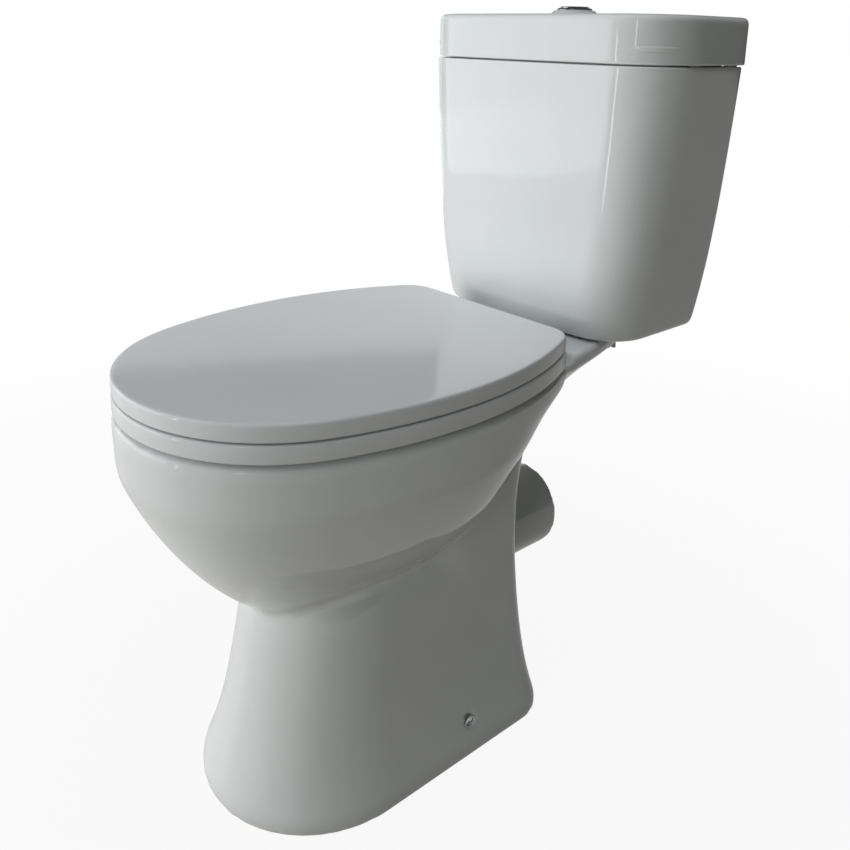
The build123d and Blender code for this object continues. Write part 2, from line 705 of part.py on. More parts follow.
def make_float_arm():
    """Lever that shuts the valve, drooping while the float is down."""
    arm = block(fill_x - 6, fill_x + arm_reach + 6, flush_back + 4.2, flush_back - 4.2,
                arm_pivot_height - 1.5, arm_pivot_height + 1.5)
    arm += Pos(fill_x, at_back(flush_back), arm_pivot_height) * Rot(90, 0, 0) \
        * Cylinder(3.2, 8.4)
    arm -= block(float_link_x - 3.6, float_link_x + 3.6, flush_back + 2.2, flush_back - 2.2,
                 arm_pivot_height - 5, arm_pivot_height + 5)
    arm -= Pos(fill_x, at_back(flush_back), arm_pivot_height) * Rot(90, 0, 0) \
        * Cylinder(rocker_pin_radius + pin_clearance, 20)
    pivot = Axis((fill_x, at_back(flush_back), arm_pivot_height), (0, 1, 0))
    return arm.rotate(pivot, arm_droop)


def make_float():
    """Cup float that slides on the stem."""
    cup = post(float_radius, float_low, float_high, fill_x, flush_back)
    cup = chamfer(cup.edges().group_by(Axis.Z)[-1], 2)
    inside = post(float_radius - 2.5, float_low - 1, float_high - 2.5, fill_x, flush_back)
    inside -= post(fill_stem_radius + 2.5, float_low - 1, float_high, fill_x, flush_back)
    return cup - inside - post(fill_stem_radius + 0.1, float_low - 1, float_high + 1, fill_x,
                               flush_back)


def make_float_link():
    """Rod from the float to the lever, with its adjusting nut."""
    arm_end = arm_pivot_height - float_travel / 2
    rod = post(1.5, float_high - 4, arm_end + 9, float_link_x, flush_back)
    rod -= post(2.0, float_high - 5, float_high, float_link_x, flush_back)
    return rod + post(3.8, arm_end + 5, arm_end + 8, float_link_x, flush_back)


# ---- seat ------------------------------------------------------------------
ring_top = ring_bottom + ring_thickness
seat_lid_bottom = ring_top + lid_gap
seat_lid_top = seat_lid_bottom + seat_lid_thickness
ring_groove_top = ring_top - seat_wall
seat_lid_ceiling = seat_lid_top - seat_wall
post_left, post_right = 66.8, 88.2
ring_ear = (55.6, 66.4)
lid_ear = (88.6, 99.4)
pin_span = (54.0, 101.0)
buffer_spots = ((138.0, 400.0), (72.0, 560.0))


def ear_pair(span, points):
    """Hinge ears at both sides: a plate with a round end about the hinge axis."""
    ear = side_profile(points, *span)
    ear += cross_bar(knuckle_radius, span[0], span[1], hinge_axis_back, hinge_axis_height)
    return ear + mirror(ear, Plane.YZ)


def hinge_bores(radius):
    """Holes of the hinge pins, at both sides."""
    bore = cross_bar(radius, pin_span[0] - 4, pin_span[1] + 4, hinge_axis_back,
                     hinge_axis_height)
    return [bore, mirror(bore, Plane.YZ)]


def make_seat_ring():
    """Seat ring with a rolled inner edge, hollow underneath, and its hinge ears."""
    grow = 0.8
    outside = extrude(egg_face(ring_bottom, seat_front_back + grow, rim_widest_back,
                               seat_rear_back, seat_half_width + grow), ring_thickness)
    hole = extrude(egg_face(ring_bottom - 1, ring_opening_front_back, rim_widest_back,
                            ring_opening_rear_back, ring_opening_half, corner=40.0),
                   ring_thickness + 2)
    ring = outside - hole
    top_edges = ring.faces().sort_by(Axis.Z)[-1]
    ring = fillet(top_edges.inner_wires()[0].edges(), 7)
    outer_top = ring.faces().filter_by(Plane.XY).sort_by(Axis.Z)[-1].outer_wire().edges()
    ring = fillet(outer_top, 3)
    groove = extrude(egg_face(ring_bottom - 1, seat_front_back - seat_wall, rim_widest_back,
                              222.0, seat_half_width - seat_wall),
                     ring_groove_top - ring_bottom + 1)
    groove -= extrude(egg_face(ring_bottom - 1, ring_opening_front_back + 5, rim_widest_back,
                               ring_opening_rear_back - 5, ring_opening_half + 5, corner=40.0),
                      ring_groove_top - ring_bottom + 2)
    ring -= groove
    axis_back, axis_height = hinge_axis_back, hinge_axis_height
    ring += ear_pair(ring_ear, [
        (axis_back + 12, ring_bottom + 4), (axis_back + 12, ring_top - 0.6),
        (axis_back + 6.2, axis_height - 2), (axis_back, axis_height),
        (axis_back, axis_height - knuckle_radius), (axis_back + 8, ring_bottom + 4)])
    return ring - hinge_bores(hinge_pin_radius + pin_clearance)


def make_seat_lid():
    """Seat lid: shell with a rounded edge, a skirt all round and its hinge ears."""
    lid = extrude(egg_face(seat_lid_bottom, seat_front_back, rim_widest_back, seat_rear_back,
                           seat_half_width), seat_lid_thickness)
    lid = fillet(lid.edges().group_by(Axis.Z)[-1], seat_lid_edge_radius)
    inside = extrude(egg_face(seat_lid_bottom - 1, seat_front_back - seat_wall,
                              rim_widest_back, seat_rear_back + seat_wall,
                              seat_half_width - seat_wall),
                     seat_lid_ceiling - seat_lid_bottom + 1)
    lid -= inside
    axis_back, axis_height = hinge_axis_back, hinge_axis_height
    lid += ear_pair(lid_ear, [
        (axis_back + 12, seat_lid_bottom + 1.5), (axis_back + 12, seat_lid_top - 3),
        (axis_back + 8, seat_lid_top - 4), (axis_back, axis_height + knuckle_radius),
        (axis_back, axis_height), (axis_back + 6.5, seat_lid_bottom + 1.5)])
    return lid - hinge_bores(hinge_pin_radius + pin_clearance)


def make_buffers(low, high):
    """Four soft buffer bars, each plugged into the moulding above."""
    buffers = []
    for x, back in buffer_spots:
        for side in (-1, 1):
            buffers.append(block(side * x - 9, side * x + 9, back + 5, back - 5, low, low + 2.5)
                           + block(side * x - 5, side * x + 5, back + 3, back - 3, low + 1,
                                   high))
    return Compound(children=buffers)


hinge_pad_top = ledge_height + 1.2
cone_washer_bottom = hinge_seat_height - 5.0


def make_hinge_post(side):
    """Hinge post: round foot, curved arm and the knuckle that holds the pin."""
    x = hinge_spacing / 2
    foot = post(13.0, hinge_pad_top, hinge_pad_top + 4, x, hinge_hole_back)
    axis_back, axis_height = hinge_axis_back, hinge_axis_height
    arm = side_profile([
        (axis_back, axis_height - knuckle_radius), (axis_back, axis_height + knuckle_radius),
        (axis_back - 10, axis_height + 4.5), (axis_back - 22, hinge_pad_top + 4),
        (axis_back - 22, hinge_pad_top + 1), (axis_back - 4, hinge_pad_top + 1)],
        post_left + 2, post_right - 2)
    barrel = cross_bar(knuckle_radius, post_left, post_right, axis_back, axis_height)
    hinge = foot + arm + barrel
    hinge -= cross_bar(hinge_pin_radius, post_left - 1, post_right + 1, axis_back, axis_height)
    hinge -= post(3.0, hinge_pad_top - 1, hinge_pad_top + 3, x, hinge_hole_back)
    return hinge if side > 0 else mirror(hinge, Plane.YZ)


# ---- every node ------------------------------------------------------------
hinge_x = hinge_spacing / 2
bolt_x = bolt_spacing / 2
large_button, small_button = make_buttons()
side_wall_x = 112.5        # outer face of the foot at the side fixing
bracket_x = 97.0
bracket_hole_x = 78.0
bracket_thickness = 3.0

nodes = {
    "pan": make_pan(),
    "cistern_tank": make_tank(),
    "cistern_lid": make_cistern_lid(),
    "cistern_lid_pads": make_lid_pads(),
    "button_bezel": make_bezel(),
    "bezel_locknut": post(24.0, lid_ceiling - 6, lid_ceiling, 0, flush_back, sleeve_radius),
    "button_base": make_button_base(),
    "full_flush_button": large_button,
    "half_flush_button": small_button,
    "full_button_spring": post(4.8, button_base_top, button_bottom, full_rod_x, flush_back, 4.0),
    "half_button_spring": post(4.8, button_base_top, button_bottom, half_rod_x, flush_back, 4.0),
    "full_push_rod": post(rod_radius, rod_bottom, button_bottom, full_rod_x, flush_back),
    "half_push_rod": post(rod_radius, rod_bottom, button_bottom, half_rod_x, flush_back),
    "flush_valve_base": make_valve_base(),
    "flush_valve_washer": post(valve_flange_radius - 1, tank_floor, valve_flange_low, 0,
                               flush_back, valve_tail_radius),
    "flush_valve_backnut": post(40.0, tank_bottom - 8, tank_bottom, 0, flush_back,
                                valve_tail_radius),
    "doughnut_gasket": chamfer(
        post(44.0, inlet_recess_floor, tank_bottom - 8, 0, flush_back,
             valve_tail_radius).edges().group_by(Axis.Z)[0].sort_by(SortBy.LENGTH)[-1], 4),
    "flush_valve_tower": make_valve_tower(),
    "rocker_platform": make_rocker_platform(),
    "lift_tube": make_lift_tube(),
    "lift_yoke": make_lift_yoke(),
    "flush_seal": post(valve_bore + 2.5, seal_low, seal_top, 0, flush_back, tube_bore_radius),
    "flush_float": post(28.0, 478, 502, 0, flush_back, tube_radius),
    "full_flush_rocker": make_rocker(full_pivot_x, full_rod_x - 4, link_x + 4, fork=True),
    "half_flush_rocker": make_rocker(half_pivot_x, half_rod_x + 4, half_pivot_x - 5, fork=False),
    "rocker_pins": make_rocker_pins(),
    "fill_valve": make_fill_valve(),
    "fill_valve_washer": post(14.0, tank_floor, valve_flange_low, fill_x, flush_back,
                              shank_radius),
    "fill_valve_backnut": hexagon(28.0, tank_bottom - fill_nut_height, tank_bottom, fill_x,
                                  flush_back, shank_radius),
    "fill_drop_tube": post(5.0, 470.0, head_low + 4, fill_x, flush_back + 37, 3.5),
    "fill_float": make_float(),
    "float_link": make_float_link(),
    "float_arm": make_float_arm(),
    "float_arm_pin": Pos(fill_x, at_back(flush_back), arm_pivot_height) * Rot(90, 0, 0)
    * Cylinder(rocker_pin_radius, 15),
    "coupling_bolts": both_sides(
        post(bolt_radius, 400.0, valve_flange_low + 2, bolt_x, flush_back)
        + post(8.0, valve_flange_low, valve_flange_low + 5, bolt_x, flush_back)),
    "coupling_seals": both_sides(post(12.0, tank_floor, valve_flange_low, bolt_x, flush_back,
                                      bolt_radius)),
    "coupling_spacers": both_sides(post(11.0, ledge_height, tank_bottom, bolt_x, flush_back,
                                        bolt_radius)),
    "coupling_washers": both_sides(post(11.0, bolt_seat_height - 2, bolt_seat_height, bolt_x,
                                        flush_back, bolt_radius)),
    "coupling_wing_nuts": both_sides(wing_nut(bolt_seat_height - 10, bolt_seat_height - 2,
                                              bolt_x, flush_back, bolt_radius, 24.0)),
    "seat_ring": make_seat_ring(),
    "seat_lid": make_seat_lid(),
    "ring_buffers": make_buffers(rim_height + rest_gap, ring_groove_top),
    "lid_buffers": make_buffers(ring_top + rest_gap, seat_lid_ceiling),
    "hinge_post_left": make_hinge_post(-1),
    "hinge_post_right": make_hinge_post(1),
    "hinge_pins": both_sides(cross_bar(hinge_pin_radius, *pin_span, hinge_axis_back,
                                       hinge_axis_height)),
    "hinge_pads": both_sides(post(12.5, ledge_height, hinge_pad_top, hinge_x, hinge_hole_back,
                                  3.0)),
    "hinge_studs": both_sides(post(3.0, 392.0, hinge_pad_top + 3, hinge_x, hinge_hole_back)),
    "hinge_cone_washers": both_sides(post(10.5, cone_washer_bottom, hinge_seat_height, hinge_x,
                                          hinge_hole_back, 3.0)),
    "hinge_wing_nuts": both_sides(wing_nut(cone_washer_bottom - 7, cone_washer_bottom, hinge_x,
                                           hinge_hole_back, 3.0, 18.0)),
    "floor_brackets": both_sides(
        block(bracket_x - bracket_thickness, bracket_x, side_hole_back + 16,
              side_hole_back - 16, 0, 50)
        + block(bracket_x - 36, bracket_x, side_hole_back + 16, side_hole_back - 16, 0,
                bracket_thickness)
        - post(3.0, -1, 5, bracket_hole_x, side_hole_back)
        - cross_bar(2.8, bracket_x - 6, bracket_x + 2, side_hole_back, side_hole_height)),
    "side_bushes": both_sides(cross_bar(side_hole_radius - 0.1, bracket_x, side_wall_x - 7,
                                        side_hole_back, side_hole_height, 2.8)),
    "side_screws": both_sides(
        cross_bar(2.8, bracket_x - 9, side_wall_x - 6, side_hole_back, side_hole_height)
        + cross_bar(5.2, side_wall_x - 7, side_wall_x - 4.5, side_hole_back,
                    side_hole_height)),
    "screw_caps": both_sides(
        cross_bar(side_hole_radius - 0.1, side_wall_x - 4.5, side_wall_x + 0.5,
                  side_hole_back, side_hole_height)),
}

for name, shape in nodes.items():
    export_step(shape, f"parts/{name}.step")
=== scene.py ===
"""Close coupled toilet: glazed china, moulded seat, chromed two-key button and fittings."""

import json
import math

import bmesh
import bpy
from mathutils import Matrix, Vector

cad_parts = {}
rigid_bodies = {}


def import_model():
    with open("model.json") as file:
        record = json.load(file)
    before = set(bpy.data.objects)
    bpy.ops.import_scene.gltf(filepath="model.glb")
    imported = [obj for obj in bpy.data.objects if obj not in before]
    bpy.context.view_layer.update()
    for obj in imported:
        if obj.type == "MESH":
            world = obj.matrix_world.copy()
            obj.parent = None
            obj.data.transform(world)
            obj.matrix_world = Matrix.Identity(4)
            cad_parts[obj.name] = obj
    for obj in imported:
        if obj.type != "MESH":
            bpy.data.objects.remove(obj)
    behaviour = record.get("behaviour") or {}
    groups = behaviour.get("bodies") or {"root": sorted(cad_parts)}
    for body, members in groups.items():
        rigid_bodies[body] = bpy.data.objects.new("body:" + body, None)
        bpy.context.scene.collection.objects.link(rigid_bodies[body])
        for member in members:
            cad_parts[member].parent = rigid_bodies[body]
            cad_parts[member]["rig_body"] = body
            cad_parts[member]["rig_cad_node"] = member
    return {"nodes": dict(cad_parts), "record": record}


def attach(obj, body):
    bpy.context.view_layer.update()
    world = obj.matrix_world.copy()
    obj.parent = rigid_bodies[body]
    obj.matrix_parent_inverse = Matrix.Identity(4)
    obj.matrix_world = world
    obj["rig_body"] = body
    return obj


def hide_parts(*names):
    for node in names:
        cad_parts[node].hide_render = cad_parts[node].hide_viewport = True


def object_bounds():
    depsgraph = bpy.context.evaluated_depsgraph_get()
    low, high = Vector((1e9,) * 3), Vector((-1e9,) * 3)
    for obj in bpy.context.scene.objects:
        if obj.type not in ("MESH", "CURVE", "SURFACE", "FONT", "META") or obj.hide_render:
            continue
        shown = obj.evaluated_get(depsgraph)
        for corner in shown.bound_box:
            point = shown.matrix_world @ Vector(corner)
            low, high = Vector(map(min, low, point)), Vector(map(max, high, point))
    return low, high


bl_info = {
    "name": "Close coupled toilet",
    "version": (1, 0, 0),
    "blender": (4, 5, 0),
    "location": "View3D > Sidebar > Toilet",
    "description": "Models a china pan, cistern, seat and flush fittings around the packed frame",
    "category": "Add Mesh",
}

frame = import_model()
CAD_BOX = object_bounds()
NODES = frame["nodes"]
MM = 0.001


# ---- places shared by several pieces, in millimetres -------------------------
WALL = CAD_BOX[1][1] / MM     # Y of the wall; "back" distances are counted from it
FLUSH_BACK = 76.0             # button, flush valve and coupling bolts
BOLT_X = 76.0                 # coupling bolts, to each side
HINGE_STUD_X, HINGE_STUD_BACK = 77.5, 171.0
HINGE_BACK, HINGE_HEIGHT = 186.0, 441.0
SIDE_HOLE_BACK, SIDE_HOLE_HEIGHT = 315.0, 39.0


# ---- outlines, in millimetres ------------------------------------------------

def at_back(back):
    """Y of a place that lies this far in front of the wall."""
    return WALL - back


def arc_points(centre, radius, start, end, count):
    """Points along an arc between two angles in radians, without its last point."""
    return [(centre[0] + radius * math.cos(start + (end - start) * i / count),
             centre[1] + radius * math.sin(start + (end - start) * i / count))
            for i in range(count)]


def mirrored(half):
    """A whole outline from its right half, which starts and ends on the middle line."""
    return half + [(-x, y) for x, y in reversed(half[1:-1])]


def egg_outline(front_back, rear_back, half_width, taper=0.30, corner=25.0, widest_back=377.0):
    """Seat-shaped outline of tangent arcs: round nose, drawn-in flanks, straight rear."""
    front_y, widest_y, rear_y = [at_back(b) for b in (front_back, widest_back, rear_back)]
    nose, flank = widest_y - front_y, rear_y - widest_y
    first, second = [math.atan(turn * nose / half_width) for turn in (0.26, 2.1)]
    first_radius = 1.3 * half_width ** 2 / nose
    across = half_width - first_radius * math.sin(first)
    along = nose - first_radius * (1 - math.cos(first))
    shares = (math.sin(second) - math.sin(first), 1 - math.sin(second),
              math.cos(first) - math.cos(second), math.cos(second))
    scale = shares[0] * shares[3] - shares[1] * shares[2]
    second_radius = (across * shares[3] - shares[1] * along) / scale
    third_radius = (shares[0] * along - shares[2] * across) / scale
    drawn_in = half_width * taper
    flank_radius = (flank ** 2 + drawn_in ** 2) / (2 * drawn_in)
    flank_turn = math.asin((flank - corner) / (flank_radius - corner))
    half = []
    place, turned = (0.0, front_y), 0.0
    for radius, heading, count in ((first_radius, first, 4), (second_radius, second, 7),
                                   (third_radius, math.pi / 2, 6),
                                   (flank_radius, math.pi / 2 + flank_turn, 10),
                                   (corner, math.pi, 5)):
        centre = (place[0] - radius * math.sin(turned), place[1] + radius * math.cos(turned))
        half += arc_points(centre, radius, turned - math.pi / 2, heading - math.pi / 2, count)
        place = (centre[0] + radius * math.sin(heading), centre[1] - radius * math.cos(heading))
        turned = heading
    half += [(place[0] * (1 - i / 4), rear_y) for i in range(5)]
    return mirrored(half)


def cistern_outline(half_width, depth, corner, rear_back=0.0, rear_bend=12.0):
    """Cistern outline: bowed front, large front corners, small rear corners."""
    bow = 1250.0
    rear_y = at_back(rear_back)
    swing = math.asin((half_width - corner) / (bow - corner))
    half = arc_points((0, rear_y - depth + bow), bow, -math.pi / 2, swing - math.pi / 2, 8)
    centre = (half_width - corner, rear_y - depth + bow - (bow - corner) * math.cos(swing))
    half += arc_points(centre, corner, swing - math.pi / 2, 0, 8)
    side_end = rear_y - rear_bend
    half += [(half_width, centre[1] + (side_end - centre[1]) * i / 5) for i in range(5)]
    half += arc_points((half_width - rear_bend, side_end), rear_bend, 0, math.pi / 2, 4)
    half += [((half_width - rear_bend) * (1 - i / 7), rear_y) for i in range(8)]
    return mirrored(half)


def round_outline(radius, count, centre_x=0.0, back=FLUSH_BACK):
    """Circle whose first point is its front, as the other outlines start."""
    return [(centre_x + x, at_back(back) + y)
            for x, y in arc_points((0, 0), radius, -math.pi / 2, 1.5 * math.pi, count)]


def inset(outline, distance):
    """The outline moved inwards, square to its own edge."""
    moved = []
    count = len(outline)
    for i, (x, y) in enumerate(outline):
        ahead, behind = outline[(i + 1) % count], outline[i - 1]
        along = Vector((ahead[0] - behind[0], ahead[1] - behind[1])).normalized()
        moved.append((x - along.y * distance, y + along.x * distance))
    return moved


def blended(outline, other, share):
    """Outline part of the way from one to another with as many points."""
    return [(a[0] + (b[0] - a[0]) * share, a[1] + (b[1] - a[1]) * share)
            for a, b in zip(outline, other)]


def around(outline, share, back=400.0):
    """The outline shrunk towards a point on the middle line."""
    return blended(outline, [(0.0, at_back(back))] * len(outline), 1 - share)


def level(outline, height):
    """The outline as a level ring of points, in metres."""
    return [Vector((x, y, height)) * MM for x, y in outline]


# ---- modelling ---------------------------------------------------------------
def deselect_all():
    bpy.ops.object.select_all(action="DESELECT")


def pick(piece):
    """Makes the piece the only one selected, and the active one."""
    deselect_all()
    piece.select_set(True)
    bpy.context.view_layer.objects.active = piece


def apply_modifier(piece, kind, **settings):
    """Adds a modifier, sets it and applies it."""
    pick(piece)
    modifier = piece.modifiers.new(kind.lower(), kind)
    for name, value in settings.items():
        setattr(modifier, name, value)
    bpy.ops.object.modifier_apply(modifier=modifier.name)


def smooth_below(piece, degrees):
    """Shades the piece smooth, apart from edges sharper than this angle."""
    pick(piece)
    bpy.ops.object.shade_smooth_by_angle(angle=math.radians(degrees))


def draw_skin(name, rings, detail=2, bevel=0.0):
    """A closed piece: a circle takes the first ring's shape, and its edge is extruded from ring
    to ring. Open ends are filled, and a last ring that lies on the first is merged with it."""
    deselect_all()
    bpy.ops.mesh.primitive_circle_add(vertices=len(rings[0]), radius=0.1)
    piece = bpy.context.object
    piece.name = piece.data.name = name
    bpy.ops.object.mode_set(mode="EDIT")
    shape = bmesh.from_edit_mesh(piece.data)
    place = shape.verts.layers.int.new("place")
    for number, corner in enumerate(shape.verts):
        corner[place] = number
    for number, ring in enumerate(rings):
        if number:
            bpy.ops.mesh.extrude_edges_move()
        shape = bmesh.from_edit_mesh(piece.data)
        place = shape.verts.layers.int["place"]
        for corner in shape.verts:
            if corner.select:
                corner.co = ring[corner[place]]
        bmesh.update_edit_mesh(piece.data)
    bpy.ops.mesh.select_all(action="SELECT")
    bpy.ops.mesh.remove_doubles(threshold=0.000005)
    bpy.ops.mesh.fill_holes(sides=0)
    bpy.ops.mesh.select_all(action="SELECT")
    bpy.ops.mesh.normals_make_consistent(inside=False)
    bpy.ops.object.mode_set(mode="OBJECT")
    piece.data.attributes.remove(piece.data.attributes["place"])
    if bevel:
        apply_modifier(piece, "BEVEL", width=bevel * MM, segments=3, limit_method="ANGLE",
                       angle_limit=math.radians(35))
    if detail:
        apply_modifier(piece, "SUBSURF", levels=detail, render_levels=detail)
    pick(piece)
    bpy.ops.object.shade_smooth()
    return piece


def both_sides(piece):
    """Adds the piece's mirror image to it."""
    apply_modifier(piece, "MIRROR", use_axis=(True, False, False), use_mirror_merge=False)
    return piece


def joined(piece, *others):
    """One piece of several, under the first one's name."""
    pick(piece)
    for other in others:
        other.select_set(True)
    bpy.ops.object.join()
    return piece


def cut(piece, *cutters):
    """Takes the cutters' shapes out of the piece."""
    cutter = joined(*cutters) if len(cutters) > 1 else cutters[0]
    apply_modifier(piece, "BOOLEAN", operation="DIFFERENCE", solver="EXACT", object=cutter)
    bpy.data.objects.remove(cutter)
    return piece


def bar(radius, low, high, x, back, count=32):
    """Upright round cutter."""
    return draw_skin("bar", [level(round_outline(radius, count, x, back), z) for z in (low, high)],
                     detail=0)


def cross_bar(radius, left, right, back, height, count=32):
    """Round cutter that lies across the toilet."""
    circle = arc_points((at_back(back), height), radius, 0, 2 * math.pi, count)
    return draw_skin("cross_bar", [[Vector((x, y, z)) * MM for y, z in circle]
                                   for x in (left, right)], detail=0)


def finish_piece(piece, node, slot=None):
    """Seats the piece in its node's place: same body, same material slot."""
    record = {s["node"]: s for s in frame["record"]["subparts"]}
    body = NODES[node]["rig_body"]
    slot = slot or record[node]["material_slot"]
    piece.data.materials.clear()
    piece.data.materials.append(FINISHES[slot])
    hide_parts(node)
    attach(piece, body)
    return piece


# ---- colours and materials ---------------------------------------------------
def linear(hex_colour):
    """Linear RGBA of an sRGB hex colour."""
    channels = [int(hex_colour[i:i + 2], 16) / 255 for i in (1, 3, 5)]
    return [c / 12.92 if c <= 0.04045 else ((c + 0.055) / 1.055) ** 2.4 for c in channels] + [1.0]


def add_node(tree, kind, settings=None, **links):
    """Adds a shader node, sets its properties and sockets, and links the sockets given."""
    node = tree.nodes.new(kind)
    for name, value in (settings or {}).items():
        if hasattr(node, name):
            setattr(node, name, value)
        else:
            node.inputs[name.replace("_", " ")].default_value = value
    for socket, source in links.items():
        tree.links.new(source, node.inputs[socket.replace("_", " ")])
    return node


def new_material(name, **shader):
    """A material with one Principled shader, whose plain values are given by socket name."""
    material = bpy.data.materials.new(name)
    material.use_nodes = True
    tree = material.node_tree
    surface = tree.nodes["Principled BSDF"]
    for socket, value in shader.items():
        surface.inputs[socket.replace("_", " ")].default_value = value
    return material, tree, surface


def object_noise(tree, size_mm, detail=2.0, roughness=0.5):
    """Noise whose largest features are about size_mm across, in the piece's own space."""
    place = add_node(tree, "ShaderNodeTexCoord")
    return add_node(tree, "ShaderNodeTexNoise",
                    {"Scale": 1000 / size_mm, "Detail": detail, "Roughness": roughness},
                    Vector=place.outputs["Object"])


def add_bump(tree, surface, height, distance_mm, strength=1.0):
    """Relief of the given depth on the shader's normal."""
    bump = add_node(tree, "ShaderNodeBump", {"Strength": strength, "Distance": distance_mm * MM},
                    Height=height)
    tree.links.new(bump.outputs["Normal"], surface.inputs["Normal"])
    return bump


def tint(tree, surface, factor, low_colour, high_colour, low=0.3, high=0.7):
    """Base colour that drifts between two colours with a pattern."""
    ramp = add_node(tree, "ShaderNodeValToRGB", Fac=factor)
    ramp.color_ramp.elements[0].position = low
    ramp.color_ramp.elements[0].color = linear(low_colour)
    ramp.color_ramp.elements[1].position = high
    ramp.color_ramp.elements[1].color = linear(high_colour)
    tree.links.new(ramp.outputs["Color"], surface.inputs["Base Color"])
    return ramp


def glazed_china(colours):
    """Vitreous china under a fired glaze: milky and glassy smooth, faintly wavy where the glaze
    ran, with a hint of cool grey where it lies thick."""
    material, tree, surface = new_material("glazed_vitreous_china", Roughness=0.06, IOR=1.52)
    drift = object_noise(tree, 160.0, 2.0)
    tint(tree, surface, drift.outputs["Fac"], colours.china_shade, colours.china)
    waves = object_noise(tree, 70.0, 1.0)
    add_bump(tree, surface, waves.outputs["Fac"], 0.35)
    return material


def seat_moulding(colours):
    """Compression moulded urea seat: dense glossy plastic, smoother than the china and a touch
    cooler, with the faint ripple of a polished mould."""
    material, tree, surface = new_material("moulded_urea_seat", Roughness=0.09, IOR=1.54)
    drift = object_noise(tree, 220.0, 1.0)
    tint(tree, surface, drift.outputs["Fac"], colours.seat_shade, colours.seat)
    ripple = object_noise(tree, 45.0, 1.0)
    add_bump(tree, surface, ripple.outputs["Fac"], 0.10)
    return material


def bright_chrome(colours):
    """Chrome plate on moulded plastic: a mirror with hairline polishing marks."""
    material, tree, surface = new_material("bright_chrome_plate", Metallic=1.0, Roughness=0.08)
    marks = object_noise(tree, 3.0, 4.0)
    tint(tree, surface, marks.outputs["Fac"], colours.chrome_shade, colours.chrome)
    add_bump(tree, surface, marks.outputs["Fac"], 0.01)
    return material


def zinc_steel(colours):
    """Zinc plated mild steel: dull silver with a fine spangle."""
    material, tree, surface = new_material("zinc_plated_steel", Metallic=1.0, Roughness=0.34)
    spangle = object_noise(tree, 1.6, 3.0)
    tint(tree, surface, spangle.outputs["Fac"], colours.steel_shade, colours.steel)
    add_bump(tree, surface, spangle.outputs["Fac"], 0.02)
    return material


def cast_brass(colours):
    """Die cast brass with a satin skin, darker in the hollows of its grain."""
    material, tree, surface = new_material("die_cast_brass", Metallic=1.0, Roughness=0.32)
    grain = object_noise(tree, 2.0, 3.0)
    tint(tree, surface, grain.outputs["Fac"], colours.brass_shade, colours.brass)
    add_bump(tree, surface, grain.outputs["Fac"], 0.03)
    return material


def moulded_plastic(name, shade, colour, grain_mm, roughness):
    """Injection moulded plastic: satin skin with the fine spark-eroded grain of its mould."""
    material, tree, surface = new_material(name, Roughness=roughness, IOR=1.46)
    grain = object_noise(tree, grain_mm, 2.0)
    tint(tree, surface, grain.outputs["Fac"], shade, colour)
    add_bump(tree, surface, grain.outputs["Fac"], 0.04)
    return material


def moulded_rubber(name, shade, colour):
    """Moulded rubber: matt, soft to the light, with a dusty bloom."""
    material, tree, surface = new_material(name, Roughness=0.72, IOR=1.50)
    bloom = object_noise(tree, 5.0, 4.0, 0.6)
    tint(tree, surface, bloom.outputs["Fac"], shade, colour)
    add_bump(tree, surface, bloom.outputs["Fac"], 0.06)
    return material


class ToiletColours(bpy.types.PropertyGroup):
    """Colours of the finishes, as sRGB hex values."""
    china: bpy.props.StringProperty(
        name="China", description="Glaze", default="#F2F4F4")
    china_shade: bpy.props.StringProperty(
        name="China, thick glaze", description="Where the glaze lies thick", default="#ECEFF0")
    seat: bpy.props.StringProperty(
        name="Seat", description="Seat and lid", default="#EFF1F3")
    seat_shade: bpy.props.StringProperty(
        name="Seat, drift", description="Darker drift of the seat", default="#EAECEF")
    chrome: bpy.props.StringProperty(
        name="Chrome", description="Chrome plate", default="#D9DBDD")
    chrome_shade: bpy.props.StringProperty(
        name="Chrome marks", description="Polishing marks", default="#CDD0D2")
    steel: bpy.props.StringProperty(
        name="Steel", description="Zinc plate", default="#C2C5C8")
    steel_shade: bpy.props.StringProperty(
        name="Steel spangle", description="Darker spangle", default="#A4A8AC")
    brass: bpy.props.StringProperty(
        name="Brass", description="Brass", default="#D3B068")
    brass_shade: bpy.props.StringProperty(
        name="Brass grain", description="Darker grain", default="#B08B48")


SLOT_MAKERS = {
    "glazed_china": glazed_china,
    "seat_plastic": seat_moulding,
    "chrome": bright_chrome,
    "steel": zinc_steel,
    "brass": cast_brass,
    "white_plastic": lambda c: moulded_plastic(
        "moulded_white_plastic", "#E2E2DF", "#EDEDEA", 2.0, 0.42),
    "grey_plastic": lambda c: moulded_plastic(
        "moulded_grey_plastic", "#6A6E74", "#7C8087", 2.0, 0.45),
    "rubber": lambda c: moulded_rubber("black_moulded_rubber", "#1B1B1B", "#2A2A2A"),
    "soft_pad": lambda c: moulded_rubber("translucent_soft_pad", "#D6D6D3", "#E6E6E3"),
}
FINISHES = {}


class TOILET_OT_finishes(bpy.types.Operator):
    """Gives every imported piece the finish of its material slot"""
    bl_idname = "toilet.finishes"
    bl_label = "Finishes"

    def execute(self, context):
        colours = context.scene.toilet_colours
        for slot, make in SLOT_MAKERS.items():
            FINISHES[slot] = make(colours)
        for subpart in frame["record"]["subparts"]:
            piece = NODES[subpart["node"]]
            piece.data.materials.clear()
            piece.data.materials.append(FINISHES[subpart["material_slot"]])
        return {"FINISHED"}


